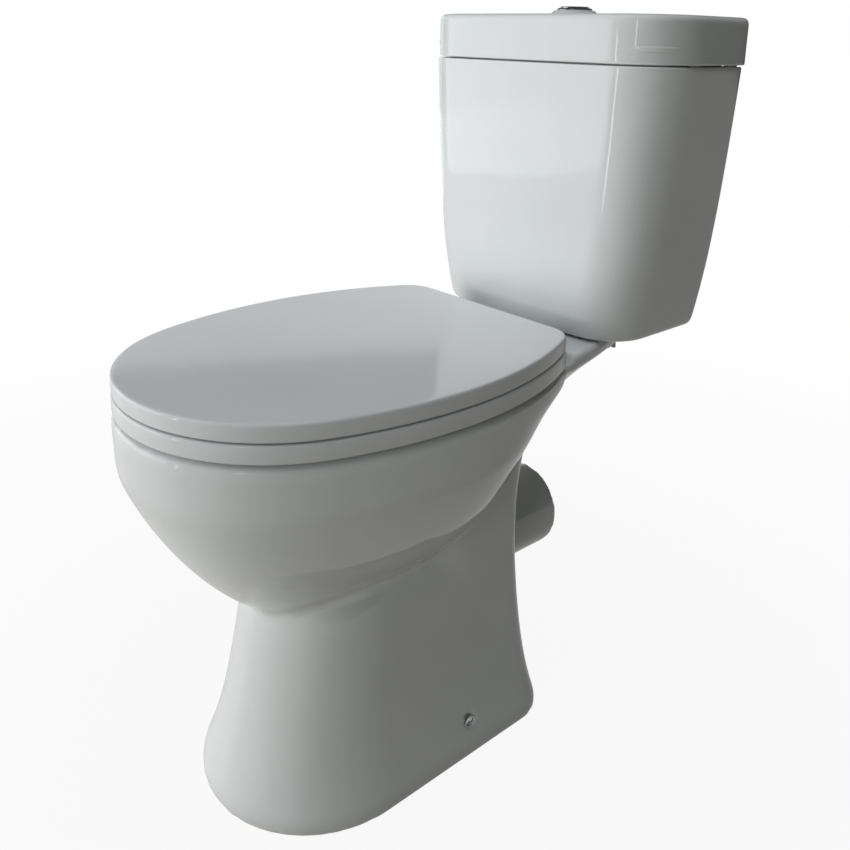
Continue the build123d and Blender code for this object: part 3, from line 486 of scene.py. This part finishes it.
# ---- sizes -------------------------------------------------------------------
class ToiletSizes(bpy.types.PropertyGroup):
    """Sizes of the modelled pieces, in millimetres, and the count of smoothing passes."""
    glaze_round: bpy.props.FloatProperty(
        name="Glaze rounding", description="Smoothing passes that soften the cast china",
        default=14.0)
    lid_crown: bpy.props.FloatProperty(
        name="Lid crown", description="Rise of the seat lid from edge to middle", default=0.8)
    seat_wall: bpy.props.FloatProperty(
        name="Seat wall", description="Wall of the hollow seat mouldings", default=4.5)
    china_wall: bpy.props.FloatProperty(
        name="Cistern wall", description="Wall of the cistern's sides", default=9.0)
    spring_wire: bpy.props.FloatProperty(
        name="Spring wire", description="Radius of the button springs' wire", default=0.38)


# ---- china -------------------------------------------------------------------
def merged_copy(node):
    """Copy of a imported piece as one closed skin."""
    pick(NODES[node])
    bpy.ops.object.duplicate()
    piece = bpy.context.object
    piece.parent = None
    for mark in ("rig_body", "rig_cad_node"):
        del piece[mark]
    bpy.ops.object.mode_set(mode="EDIT")
    bpy.ops.mesh.select_all(action="SELECT")
    bpy.ops.mesh.remove_doubles(threshold=0.00002)
    bpy.ops.object.mode_set(mode="OBJECT")
    return piece


def eased_copy(node, width):
    """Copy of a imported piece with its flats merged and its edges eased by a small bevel."""
    piece = merged_copy(node)
    piece.name = piece.data.name = node + "_eased"
    bpy.ops.object.mode_set(mode="EDIT")
    bpy.ops.mesh.select_all(action="SELECT")
    bpy.ops.mesh.dissolve_limited(angle_limit=math.radians(0.5))
    bpy.ops.object.mode_set(mode="OBJECT")
    apply_modifier(piece, "BEVEL", width=width * MM, segments=2, limit_method="ANGLE",
                   angle_limit=math.radians(40), harden_normals=False)
    smooth_below(piece, 35)
    return piece


class TOILET_OT_pan(bpy.types.Operator):
    """Cast china pan, its edges and joins softened as the glaze leaves them"""
    bl_idname = "toilet.pan"
    bl_label = "Pan"

    def execute(self, context):
        pan = merged_copy("pan")
        pan.name = pan.data.name = "china_pan"
        joined(pan, self.bowl_wall())
        apply_modifier(pan, "REMESH", mode="VOXEL", voxel_size=0.004, use_smooth_shade=True)
        soft = pan.vertex_groups.new(name="soft")
        for vertex in pan.data.vertices:
            soft.add([vertex.index], self.softness(*[c / MM for c in vertex.co]), "REPLACE")
        apply_modifier(pan, "SMOOTH", factor=0.5,
                       iterations=int(context.scene.toilet_sizes.glaze_round), vertex_group="soft")
        pan.vertex_groups.remove(pan.vertex_groups["soft"])
        pick(pan)
        bpy.ops.object.shade_smooth()
        finish_piece(pan, "pan")
        return {"FINISHED"}

    def softness(self, x, y, z):
        """How far a place is smoothed, 0 to 1: not at the holes, and little at the ledge."""
        stud_reach, side_reach, ledge_softness = 18.0, 26.0, 0.35
        weight = 1.0
        if z > 380:
            for side in (-1, 1):
                for hole_x, back in ((HINGE_STUD_X, HINGE_STUD_BACK), (BOLT_X, FLUSH_BACK)):
                    away = math.hypot(x - side * hole_x, y - at_back(back))
                    weight = min(weight, max(0.0, away / stud_reach - 0.6))
        if y > at_back(200.0) and z > 340:
            weight = min(weight, ledge_softness)
        side_hole = math.hypot(y - at_back(SIDE_HOLE_BACK), z - SIDE_HOLE_HEIGHT)
        if side_hole < side_reach and abs(x) > 80:
            weight = min(weight, max(0.0, side_hole / 12 - 0.8))
        return min(1.0, weight)

    def bowl_wall(self):
        """The bowl's wall, made up to a caster's thickness where it dips behind the foot."""
        stations = [
            # height, front, rear, half width, taper
            (206.0, 498.0, 295.0, 52.0, 0.46),
            (240.8, 537.0, 263.0, 87.9, 0.48),
            (282.5, 569.2, 243.0, 126.8, 0.507),
            (324.3, 592.0, 229.0, 152.2, 0.487),
            (345.0, 602.0, 222.0, 161.0, 0.47),
        ]
        outer = [(z, inset(egg_outline(f, r, a, t), 1.2)) for z, f, r, a, t in stations]
        rings = [level(outline, z) for z, outline in outer]
        rings += [level(inset(outline, 9.0), z) for z, outline in reversed(outer)]
        return draw_skin("bowl_wall", rings + rings[:1], detail=1)


TANK_LOW = 430.3                               # lowest station of the cistern
TANK_WIDEN, TANK_REAR, TANK_DEEPEN = 1.5, 1.0, 2.0   # to each side, rear gap, added depth
TANK_STATIONS = [
    # height, half width, depth, front corner
    (TANK_LOW, 139.8, 148.5, 54.0),
    (468.0, 147.3, 153.0, 56.0),
    (515.0, 154.7, 156.0, 57.0),
    (575.0, 161.2, 156.8, 57.5),
    (642.0, 166.6, 157.0, 58.5),
    (717.0, 171.1, 157.0, 60.0),
]


def tank_outline(height):
    """Outline of the cistern's outside at a height, in proportion between its stations."""
    for low, high in zip(TANK_STATIONS, TANK_STATIONS[1:]):
        if low[0] <= height <= high[0]:
            share = (height - low[0]) / (high[0] - low[0])
            row = [a + share * (b - a) for a, b in zip(low, high)]
            return cistern_outline(row[1] + TANK_WIDEN, row[2] + TANK_DEEPEN, row[3], TANK_REAR)
    raise ValueError("height lies outside the cistern")


class TOILET_OT_cistern(bpy.types.Operator):
    """China cistern: tapering walls with a soft bottom edge, open at the top"""
    bl_idname = "toilet.cistern"
    bl_label = "Cistern"

    def execute(self, context):
        wall = context.scene.toilet_sizes.china_wall
        low, top, floor = 429.7, 717.0, 443.3
        middle = round_outline(48.0, 64, back=80.0)
        side_heights = (447.0, 468.0, 491.0, 515.0, 545.0, 575.0, 608.0, 642.0, 680.0, 712.0)
        rings = [level(blended(tank_outline(TANK_LOW), middle, share), low) for share in (0.9, 0.4)]
        rings += [level(inset(tank_outline(max(z, TANK_LOW)), distance), z) for distance, z in (
            (9.0, low), (6.4, 429.9), (3.8, 430.9), (1.8, 432.9), (0.6, 436.0), (0.1, 440.5))]
        rings += [level(tank_outline(z), z) for z in side_heights]
        rings += [level(inset(tank_outline(top), distance), z) for distance, z in (
            (0.0, 715.4), (0.35, 716.6), (1.3, top), (wall - 1.3, top), (wall - 0.35, 716.6),
            (wall, 715.4))]
        rings += [level(inset(tank_outline(z), wall), z) for z in reversed(side_heights[1:])]
        rings += [level(inset(tank_outline(floor), distance), z) for distance, z in (
            (wall, 449.0), (wall + 0.6, 445.8), (wall + 2.4, 443.8), (wall + 5.0, floor))]
        rings += [level(blended(tank_outline(floor), middle, share), floor)
                  for share in (0.4, 0.9)]
        tank = draw_skin("china_cistern", rings)
        under, over = 425, 450
        cutters = [bar(32.0, under, over, 0, FLUSH_BACK, 64),
                   bar(11.8, under, over, -115.0, FLUSH_BACK)]
        cutters += [bar(6.0, under, over, side * BOLT_X, FLUSH_BACK) for side in (-1, 1)]
        cut(tank, *cutters)
        smooth_below(tank, 50)
        finish_piece(tank, "cistern_tank")
        return {"FINISHED"}


class TOILET_OT_cistern_lid(bpy.types.Operator):
    """China cistern lid: soft top edge, boss round the button, rib underneath"""
    bl_idname = "toilet.cistern_lid"
    bl_label = "Cistern lid"

    def execute(self, context):
        wall, low, high, ceiling = 8.0, 720.0, 765.5, 756.5
        outline = cistern_outline(175.0, 160.1, 68.0)
        bore, boss, base = [round_outline(r, 64) for r in (18.0, 22.5, 27.0)]
        rings = [level(bore, 769.9), level(inset(bore, -0.6), 770.5),
                 level(inset(boss, 0.8), 770.5), level(boss, 770.3),
                 level(inset(boss, -1.2), 769.2), level(inset(base, 1.0), 766.6),
                 level(inset(base, -1.0), high), level(inset(base, -6.0), high)]
        rings += [level(blended(inset(base, -12.0), inset(outline, 22.0), share), high)
                  for share in (0.0, 0.5, 1.0)]
        rings += [level(inset(outline, distance), z) for distance, z in (
            (12.0, high), (7.5, 765.4), (4.2, 764.9), (1.9, 763.5), (0.5, 761.2), (0.0, 758.4),
            (0.0, 754.0), (0.0, 740.0), (0.0, 726.0), (0.0, 720.5), (0.2, 719.2), (0.8, 718.5),
            (1.6, 718.6), (2.2, low), (wall - 1.8, low), (wall - 0.6, 720.7), (wall, 722.5),
            (wall, 735.0), (wall, 750.0), (wall + 0.8, 754.6), (wall + 3.0, 756.1),
            (wall + 6.0, ceiling))]
        rings += [level(blended(inset(outline, 22.0), inset(bore, -12.0), share), ceiling)
                  for share in (0.1, 0.6, 1.0)]
        rings += [level(inset(bore, -1.0), ceiling), level(bore, ceiling + 0.8),
                  level(bore, 763.0), level(bore, 769.9)]
        lid = draw_skin("china_cistern_lid", rings)
        inner = cistern_outline(151.0, 117.5, 47.0, 21.5, 6.0)
        rib = [cistern_outline(156.5, 128.5, 52.0, 16.0, 8.0), inner]
        strap = [cistern_outline(173.0, 155.6, 60.0, 3.0), inner]
        ribs = [draw_skin("rib", closed_band(pair, z_low, z_high), detail=0, bevel=1.2)
                for pair, z_low, z_high in ((rib, 711.0, 733.0), (strap, 730.0, 736.0))]
        joined(lid, *ribs)
        smooth_below(lid, 50)
        finish_piece(lid, "cistern_lid")
        return {"FINISHED"}


def closed_band(outlines, low, high):
    """Rings of an upright band between an outer and an inner outline."""
    outer, inner = outlines
    return [level(outer, low), level(outer, high), level(inner, high), level(inner, low),
            level(outer, low)]


# ---- seat --------------------------------------------------------------------
def ear(name, left, right, arm):
    """Hinge ears at both sides: a plate whose round end lies about the hinge axis."""
    axis_y, axis_z = at_back(HINGE_BACK), HINGE_HEIGHT
    radius, bore = 7.0, 3.55
    knuckle = arc_points(Vector((axis_y, axis_z)), radius, -math.pi / 2, math.pi / 2, 12)
    knuckle += [(axis_y, axis_z + radius)]
    profile = knuckle + [(at_back(b), z) for b, z in arm]
    rings = [[Vector((x, y, z)) * MM for y, z in profile] for x in (left, right)]
    plate = draw_skin(name, rings, detail=0, bevel=0.8)
    cut(plate, cross_bar(bore, left - 2, right + 2, HINGE_BACK, axis_z))
    return both_sides(plate)


class TOILET_OT_seat(bpy.types.Operator):
    """Seat ring with a rolled inner edge and its shallow lid, each with hinge ears"""
    bl_idname = "toilet.seat"
    bl_label = "Seat and lid"

    def execute(self, context):
        wall = context.scene.toilet_sizes.seat_wall
        self.make_ring(wall)
        self.make_lid(wall, context.scene.toilet_sizes.lid_crown)
        return {"FINISHED"}

    def make_ring(self, wall):
        low, high, groove = 420.4, 437.0, 432.5
        outer = egg_outline(609.8, 194.0, 169.8)
        inner = egg_outline(552.0, 270.0, 108.0, corner=40.0)
        rings = [level(inset(outer, distance), z) for distance, z in (
            (1.2, low), (0.35, 420.7), (0.0, 421.8), (0.0, 430.0), (0.15, 434.0), (0.8, 435.9),
            (2.0, 436.8), (4.0, high), (8.0, high))]
        rings += [level(blended(outer, inner, share), high) for share in (0.35, 0.65)]
        rings += [level(inset(inner, -distance), z) for distance, z in (
            (10.0, high), (7.0, 436.9), (4.2, 436.2), (1.9, 434.4), (0.5, 431.8), (0.0, 428.6),
            (0.0, 423.0), (0.35, 421.0), (1.3, low), (3.8, low), (4.8, 421.0), (5.0, 423.0),
            (5.0, 430.0), (6.0, 432.0), (8.0, groove))]
        rings += [level(blended(outer, inner, 0.5), groove)]
        rings += [level(inset(outer, distance), z) for distance, z in (
            (wall + 3.0, groove), (wall + 1.0, 432.0), (wall, 430.0), (wall, 423.0),
            (wall - 0.3, 420.9), (wall - 1.2, low), (1.2, low))]
        ring = draw_skin("moulded_seat_ring", rings)
        ears = ear("ring_ear", 55.6, 66.4, [(192.2, 439.0), (198.0, 436.4), (198.0, 424.4),
                                            (194.0, 424.4)])
        joined(ring, ears)
        smooth_below(ring, 50)
        finish_piece(ring, "seat_ring")

    def make_lid(self, wall, crown):
        low, high = 438.5, 455.3
        ceiling = high - wall
        outline = egg_outline(609.0, 194.0, 169.0, corner=34.0)
        shares = (0.12, 0.35, 0.6, 0.8)
        rings = [level(around(outline, share), ceiling - crown * share ** 2) for share in shares]
        rings += [level(inset(outline, distance), z - crown) for distance, z in (
            (wall + 9.0, ceiling), (wall + 4.0, ceiling - 0.1), (wall + 1.2, ceiling - 0.9),
            (wall + 0.2, ceiling - 2.6))]
        rings += [level(inset(outline, distance), z) for distance, z in (
            (wall, 443.0), (wall - 0.1, 440.0), (wall - 0.5, 439.0), (wall - 1.4, low),
            (1.2, low), (0.35, 438.8), (0.0, 439.8), (0.0, 444.0), (0.0, 449.6))]
        rings += [level(inset(outline, distance), z - crown) for distance, z in (
            (0.1, 452.6), (0.6, 454.1), (1.6, 454.95), (3.2, 455.2), (7.0, high))]
        rings += [level(around(outline, share), high - crown * share ** 2)
                  for share in reversed(shares)]
        lid = draw_skin("moulded_seat_lid", rings)
        ears = ear("lid_ear", 88.6, 99.4, [(194.0, 451.3), (198.0, 452.3), (198.0, 440.0),
                                           (192.5, 440.0)])
        joined(lid, ears)
        smooth_below(lid, 50)
        finish_piece(lid, "seat_lid")


# ---- flush button ------------------------------------------------------------
def turned(name, profile, count=64):
    """Piece turned about the button's upright axis from (radius, height) points."""
    return draw_skin(name, [level(round_outline(r, count), z) for r, z in profile], detail=1)


def key_outline(radius, lens_x, lens_radius, large):
    """Outline of one flush key: the disc's arc on its side of the lens that splits it."""
    cross_x = -abs((lens_radius ** 2 - radius ** 2 - lens_x ** 2) / (-2 * lens_x))
    cross_y = math.sqrt(radius ** 2 - cross_x ** 2)
    on_disc = math.atan2(cross_y, cross_x)
    on_lens = math.atan2(cross_y, cross_x - lens_x)
    centre_y = at_back(FLUSH_BACK)
    if large:
        outline = arc_points((0, 0), radius, -on_disc, on_disc, 40)
        outline += arc_points((lens_x, 0), lens_radius, on_lens, -on_lens, 24)
    else:
        outline = arc_points((0, 0), radius, on_disc, 2 * math.pi - on_disc, 24)
        outline += arc_points((lens_x, 0), lens_radius, -on_lens, on_lens, 24)
    return [(x, centre_y + y) for x, y in outline]


def coil_spring(name, x, low, high, radius, wire, turns):
    """Round wire wound into a spring about an upright axis."""
    deselect_all()
    bpy.ops.mesh.primitive_circle_add(vertices=10, radius=wire * MM, rotation=(math.pi / 2, 0, 0),
                                      location=(radius * MM, 0, (low + wire) * MM))
    bpy.ops.object.transform_apply()
    spring = bpy.context.object
    spring.name = spring.data.name = name
    pitch = (high - low - 2 * wire) / turns
    apply_modifier(spring, "SCREW", screw_offset=pitch * MM, iterations=turns, steps=24,
                   render_steps=24)
    pick(spring)
    bpy.ops.object.mode_set(mode="EDIT")
    bpy.ops.mesh.select_all(action="SELECT")
    bpy.ops.mesh.fill_holes(sides=0)
    bpy.ops.mesh.select_all(action="SELECT")
    bpy.ops.mesh.normals_make_consistent(inside=False)
    bpy.ops.transform.translate(value=(x * MM, at_back(FLUSH_BACK) * MM, 0))
    bpy.ops.object.mode_set(mode="OBJECT")
    bpy.ops.object.shade_smooth_by_angle(angle=math.radians(50))
    return spring


class TOILET_OT_button(bpy.types.Operator):
    """Chromed bezel with its threaded sleeve, two keys and their springs"""
    bl_idname = "toilet.button"
    bl_label = "Flush button"

    def execute(self, context):
        bore, sleeve = 15.8, 17.5
        profile = [(bore, 735.6), (bore + 0.4, 735.0), (sleeve - 0.5, 735.0), (sleeve, 735.8)]
        for turn in range(14):
            height = 737.0 + 1.5 * turn
            profile += [(sleeve - 0.6, height), (sleeve, height + 0.75)]
        profile += [(sleeve, 759.0), (sleeve, 770.0), (18.9, 770.5), (19.4, 770.8), (19.5, 771.4),
                    (19.2, 772.2), (18.2, 772.85), (17.4, 773.0), (16.5, 773.0), (15.95, 772.8),
                    (bore, 772.2), (bore, 766.0), (bore, 745.0), (bore, 735.6)]
        finish_piece(turned("chromed_bezel", profile), "button_bezel")
        for node, large in (("full_flush_button", True), ("half_flush_button", False)):
            lens_radius = 16.2 if large else 15.6
            outline = key_outline(15.5, -17.0, lens_radius, large)
            key = draw_skin("chromed_" + node, [level(outline, 762.0), level(outline, 774.5)],
                            detail=0, bevel=0.8)
            smooth_below(key, 40)
            finish_piece(key, node)
        for node, x in (("full_button_spring", 7.0), ("half_button_spring", -8.5)):
            spring = coil_spring("wire_" + node, x, 738.0, 761.6, 4.4,
                                 context.scene.toilet_sizes.spring_wire, 7)
            finish_piece(spring, node)
        return {"FINISHED"}


class TOILET_OT_screw_caps(bpy.types.Operator):
    """Bright caps in the side fixing holes of the foot"""
    bl_idname = "toilet.screw_caps"
    bl_label = "Screw caps"

    def execute(self, context):
        centre = (at_back(SIDE_HOLE_BACK), SIDE_HOLE_HEIGHT)
        profile = [(5.6, 108.2), (6.2, 108.4), (6.35, 109.0), (6.35, 112.4), (6.2, 113.0),
                   (5.7, 113.2), (5.2, 112.9), (4.9, 111.4), (4.4, 110.6), (3.2, 110.9),
                   (1.4, 111.5)]
        rings = [[Vector((x, y, z)) * MM for y, z in arc_points(centre, r, 0, 2 * math.pi, 32)]
                 for r, x in profile]
        caps = both_sides(draw_skin("bright_screw_caps", rings, detail=1))
        finish_piece(caps, "screw_caps", "chrome")
        return {"FINISHED"}


EASED = {
    # node: width of the eased edge in millimetres
    "hinge_post_left": 0.8, "hinge_post_right": 0.8, "hinge_wing_nuts": 0.6,
    "coupling_wing_nuts": 0.8, "coupling_bolts": 0.5, "coupling_washers": 0.3,
    "coupling_spacers": 0.3, "doughnut_gasket": 0.8, "flush_valve_backnut": 0.8,
    "fill_valve": 0.5, "fill_valve_backnut": 0.6, "fill_float": 0.8, "float_arm": 0.4,
    "flush_valve_base": 0.6, "flush_valve_tower": 0.6, "rocker_platform": 0.5,
    "full_flush_rocker": 0.4, "half_flush_rocker": 0.4, "lift_yoke": 0.4, "lift_tube": 0.4,
    "flush_float": 0.8, "bezel_locknut": 0.6, "button_base": 0.3, "floor_brackets": 0.5,
    "ring_buffers": 0.6, "lid_buffers": 0.6, "cistern_lid_pads": 0.5,
}


class TOILET_OT_fittings(bpy.types.Operator):
    """Moulded and cast fittings with their edges eased"""
    bl_idname = "toilet.fittings"
    bl_label = "Fittings"

    def execute(self, context):
        for node, width in EASED.items():
            slot = "white_plastic" if node == "coupling_wing_nuts" else None
            finish_piece(eased_copy(node, width), node, slot)
        return {"FINISHED"}


# ---- stage -------------------------------------------------------------------
COOL, PLAIN = (0.94, 0.972, 1.0), (0.99, 1.0, 0.99)
PANELS = [
    # name, place, aim, width and height in metres, watts, colour, whether glossy rays see it
    ("window_left", (-2.6, -2.45, 0.9), (0, 0, 0.3), 3.6, 1.8, 31, COOL, True),
    ("window_soft", (-2.6, -2.45, 0.9), (0, 0, 0.3), 3.6, 1.8, 36, COOL, False),
    ("low_fill", (-1.2, -1.6, 0.40), (0, -0.1, 0.12), 1.0, 0.4, 10.5, PLAIN, False),
    ("right_fill", (0.9, -2.3, 0.7), (0, 0, 0.35), 1.0, 1.0, 7.5, PLAIN, False),
    ("room_wall", (-2.54, 1.49, 0.78), (0, -0.1, 0.78), 2.6, 1.56, 8, PLAIN, True),
    ("strip_front", (-0.32, -1.68, 0.45), (0.14, 0.17, 0.45), 0.05, 0.6, 0.7, PLAIN, True),
    ("strip_right", (0.70, -1.45, 0.95), (0.14, 0.17, 0.6), 0.06, 0.5, 0.5, PLAIN, True),
    ("ceiling", (0.0, -0.4, 2.6), (0, -0.1, 0.4), 1.6, 1.6, 17, COOL, False),
]


def combine(tree, operation, first, second):
    """Math node on one output and either another output or a plain number."""
    node = add_node(tree, "ShaderNodeMath", {"operation": operation})
    tree.links.new(first, node.inputs[0])
    if isinstance(second, float):
        node.inputs[1].default_value = second
    else:
        tree.links.new(second, node.inputs[1])
    return node.outputs[0]


def mix_shaders(tree, factor, first, second, output):
    """Shows the second shader as far as the factor goes, and the first for the rest."""
    mix = tree.nodes.new("ShaderNodeMixShader")
    for socket, source in enumerate((factor, first, second)):
        tree.links.new(source, mix.inputs[socket])
    tree.links.new(mix.outputs[0], tree.nodes[output].inputs[0])


def add_panel(name, place, aim, width, height, watts, colour, mirrored):
    """A soft rectangular light that faces a point, with or without its own reflection."""
    light = bpy.data.lights.new(name, "AREA")
    light.shape = "RECTANGLE"
    light.size = width
    light.size_y = height
    light.energy = watts
    light.color = colour
    lamp = bpy.data.objects.new(name, light)
    bpy.context.scene.collection.objects.link(lamp)
    lamp.location = place
    lamp.visible_glossy = mirrored
    lamp.rotation_euler = (Vector(aim) - Vector(place)).to_track_quat("-Z", "Y").to_euler()


class TOILET_OT_stage(bpy.types.Operator):
    """Floor, camera and soft studio lights"""
    bl_idname = "toilet.stage"
    bl_label = "Stage"

    def execute(self, context):
        self.lay_floor()
        self.set_world(context)
        for panel in PANELS:
            add_panel(*panel)
        self.set_camera(context)
        context.scene.view_settings.view_transform = "Standard"
        return {"FINISHED"}

    def lay_floor(self):
        """Matt floor that takes the shadow. It is white to the camera and half white to the
        glaze, and a little darker near the object, where more of its grey lit skin shows: painted
        shade round the object, added to its real shadow."""
        below_feet, glossy_share = -0.0004, 0.5
        deselect_all()
        bpy.ops.mesh.primitive_plane_add(size=14.0, location=(0, 0, below_feet))
        floor = bpy.context.object
        floor.name = "studio_floor"
        material, tree, surface = new_material("pale_matt_floor", Roughness=0.9,
                                               Base_Color=linear("#A8A598"))
        glow = add_node(tree, "ShaderNodeEmission", {"Color": (1, 1, 1, 1), "Strength": 1.0})
        path = add_node(tree, "ShaderNodeLightPath").outputs
        place = add_node(tree, "ShaderNodeTexCoord")
        reach = add_node(tree, "ShaderNodeVectorMath", {"operation": "LENGTH"})
        tree.links.new(place.outputs["Object"], reach.inputs[0])
        # painted shade: closer to the object more of the grey lit floor shows, so the floor darkens
        # round the object as well as in its real shadow
        painted_shade_fade = add_node(tree, "ShaderNodeMapRange",
                        {"From Min": 0.3, "From Max": 1.6, "To Min": 0.93, "To Max": 1.0},
                        Value=reach.outputs["Value"])
        direct = combine(tree, "MAXIMUM", path["Is Camera Ray"], path["Is Transmission Ray"])
        glossy = combine(tree, "MULTIPLY", path["Is Glossy Ray"], glossy_share)
        shown = combine(tree, "MAXIMUM", direct, glossy)
        seen = combine(tree, "MULTIPLY", shown, painted_shade_fade.outputs["Result"])
        mix_shaders(tree, seen, surface.outputs[0], glow.outputs[0], "Material Output")
        floor.data.materials.append(material)

    def set_world(self, context):
        """Dim room light, with white behind the object for the camera."""
        world = bpy.data.worlds.new("soft_studio")
        context.scene.world = world
        world.use_nodes = True
        tree = world.node_tree
        light = tree.nodes["Background"]
        light.inputs["Color"].default_value = linear("#EDF2EC")
        light.inputs["Strength"].default_value = 0.07
        white = add_node(tree, "ShaderNodeBackground", {"Color": (1, 1, 1, 1), "Strength": 1.0})
        path = add_node(tree, "ShaderNodeLightPath").outputs
        mix_shaders(tree, path["Is Camera Ray"], light.outputs[0], white.outputs[0],
                    "World Output")

    def set_camera(self, context):
        """Camera at the front right, a little above the seat, with a slight roll."""
        lens = bpy.data.cameras.new("camera")
        camera = bpy.data.objects.new("camera", lens)
        context.scene.collection.objects.link(camera)
        yaw, pitch, roll = math.radians(47.0), math.radians(16.7), math.radians(1.3)
        forward = Vector((-math.sin(yaw) * math.cos(pitch), math.cos(yaw) * math.cos(pitch),
                          -math.sin(pitch)))
        right = Vector((math.cos(yaw), math.sin(yaw), 0))
        up = right.cross(forward)
        right, up = (right * math.cos(roll) + up * math.sin(roll),
                     up * math.cos(roll) - right * math.sin(roll))
        turn = Matrix((right, up, -forward)).transposed()
        place = Matrix.Translation((0.6852, CAD_BOX[1][1] - 0.8768, 0.7422))
        camera.matrix_world = place @ turn.to_4x4()
        lens.lens = 38.39
        lens.sensor_width = 36.0
        lens.shift_x = -0.0411
        lens.shift_y = -0.1388
        context.scene.camera = camera


PIECE_OPERATORS = [TOILET_OT_finishes, TOILET_OT_pan, TOILET_OT_cistern, TOILET_OT_cistern_lid,
                   TOILET_OT_seat, TOILET_OT_button, TOILET_OT_screw_caps, TOILET_OT_fittings,
                   TOILET_OT_stage]


class TOILET_PT_pieces(bpy.types.Panel):
    """Lists the pieces, their sizes and their colours"""
    bl_idname = "TOILET_PT_pieces"
    bl_label = "Close coupled toilet"
    bl_space_type = "VIEW_3D"
    bl_region_type = "UI"
    bl_category = "Toilet"

    def draw(self, context):
        for group in (context.scene.toilet_sizes, context.scene.toilet_colours):
            for name in group.__annotations__:
                self.layout.prop(group, name)
        for operator in PIECE_OPERATORS:
            self.layout.operator(operator.bl_idname)


CLASSES = [ToiletColours, ToiletSizes] + PIECE_OPERATORS + [TOILET_PT_pieces]


def register():
    for kind in CLASSES:
        bpy.utils.register_class(kind)
    bpy.types.Scene.toilet_colours = bpy.props.PointerProperty(type=ToiletColours)
    bpy.types.Scene.toilet_sizes = bpy.props.PointerProperty(type=ToiletSizes)


def unregister():
    del bpy.types.Scene.toilet_colours
    del bpy.types.Scene.toilet_sizes
    for kind in reversed(CLASSES):
        bpy.utils.unregister_class(kind)


def main():
    register()
    bpy.ops.toilet.finishes()
    bpy.ops.toilet.pan()
    bpy.ops.toilet.cistern()
    bpy.ops.toilet.cistern_lid()
    bpy.ops.toilet.seat()
    bpy.ops.toilet.button()
    bpy.ops.toilet.screw_caps()
    bpy.ops.toilet.fittings()
    bpy.ops.toilet.stage()


if __name__ == "__main__":
    main()
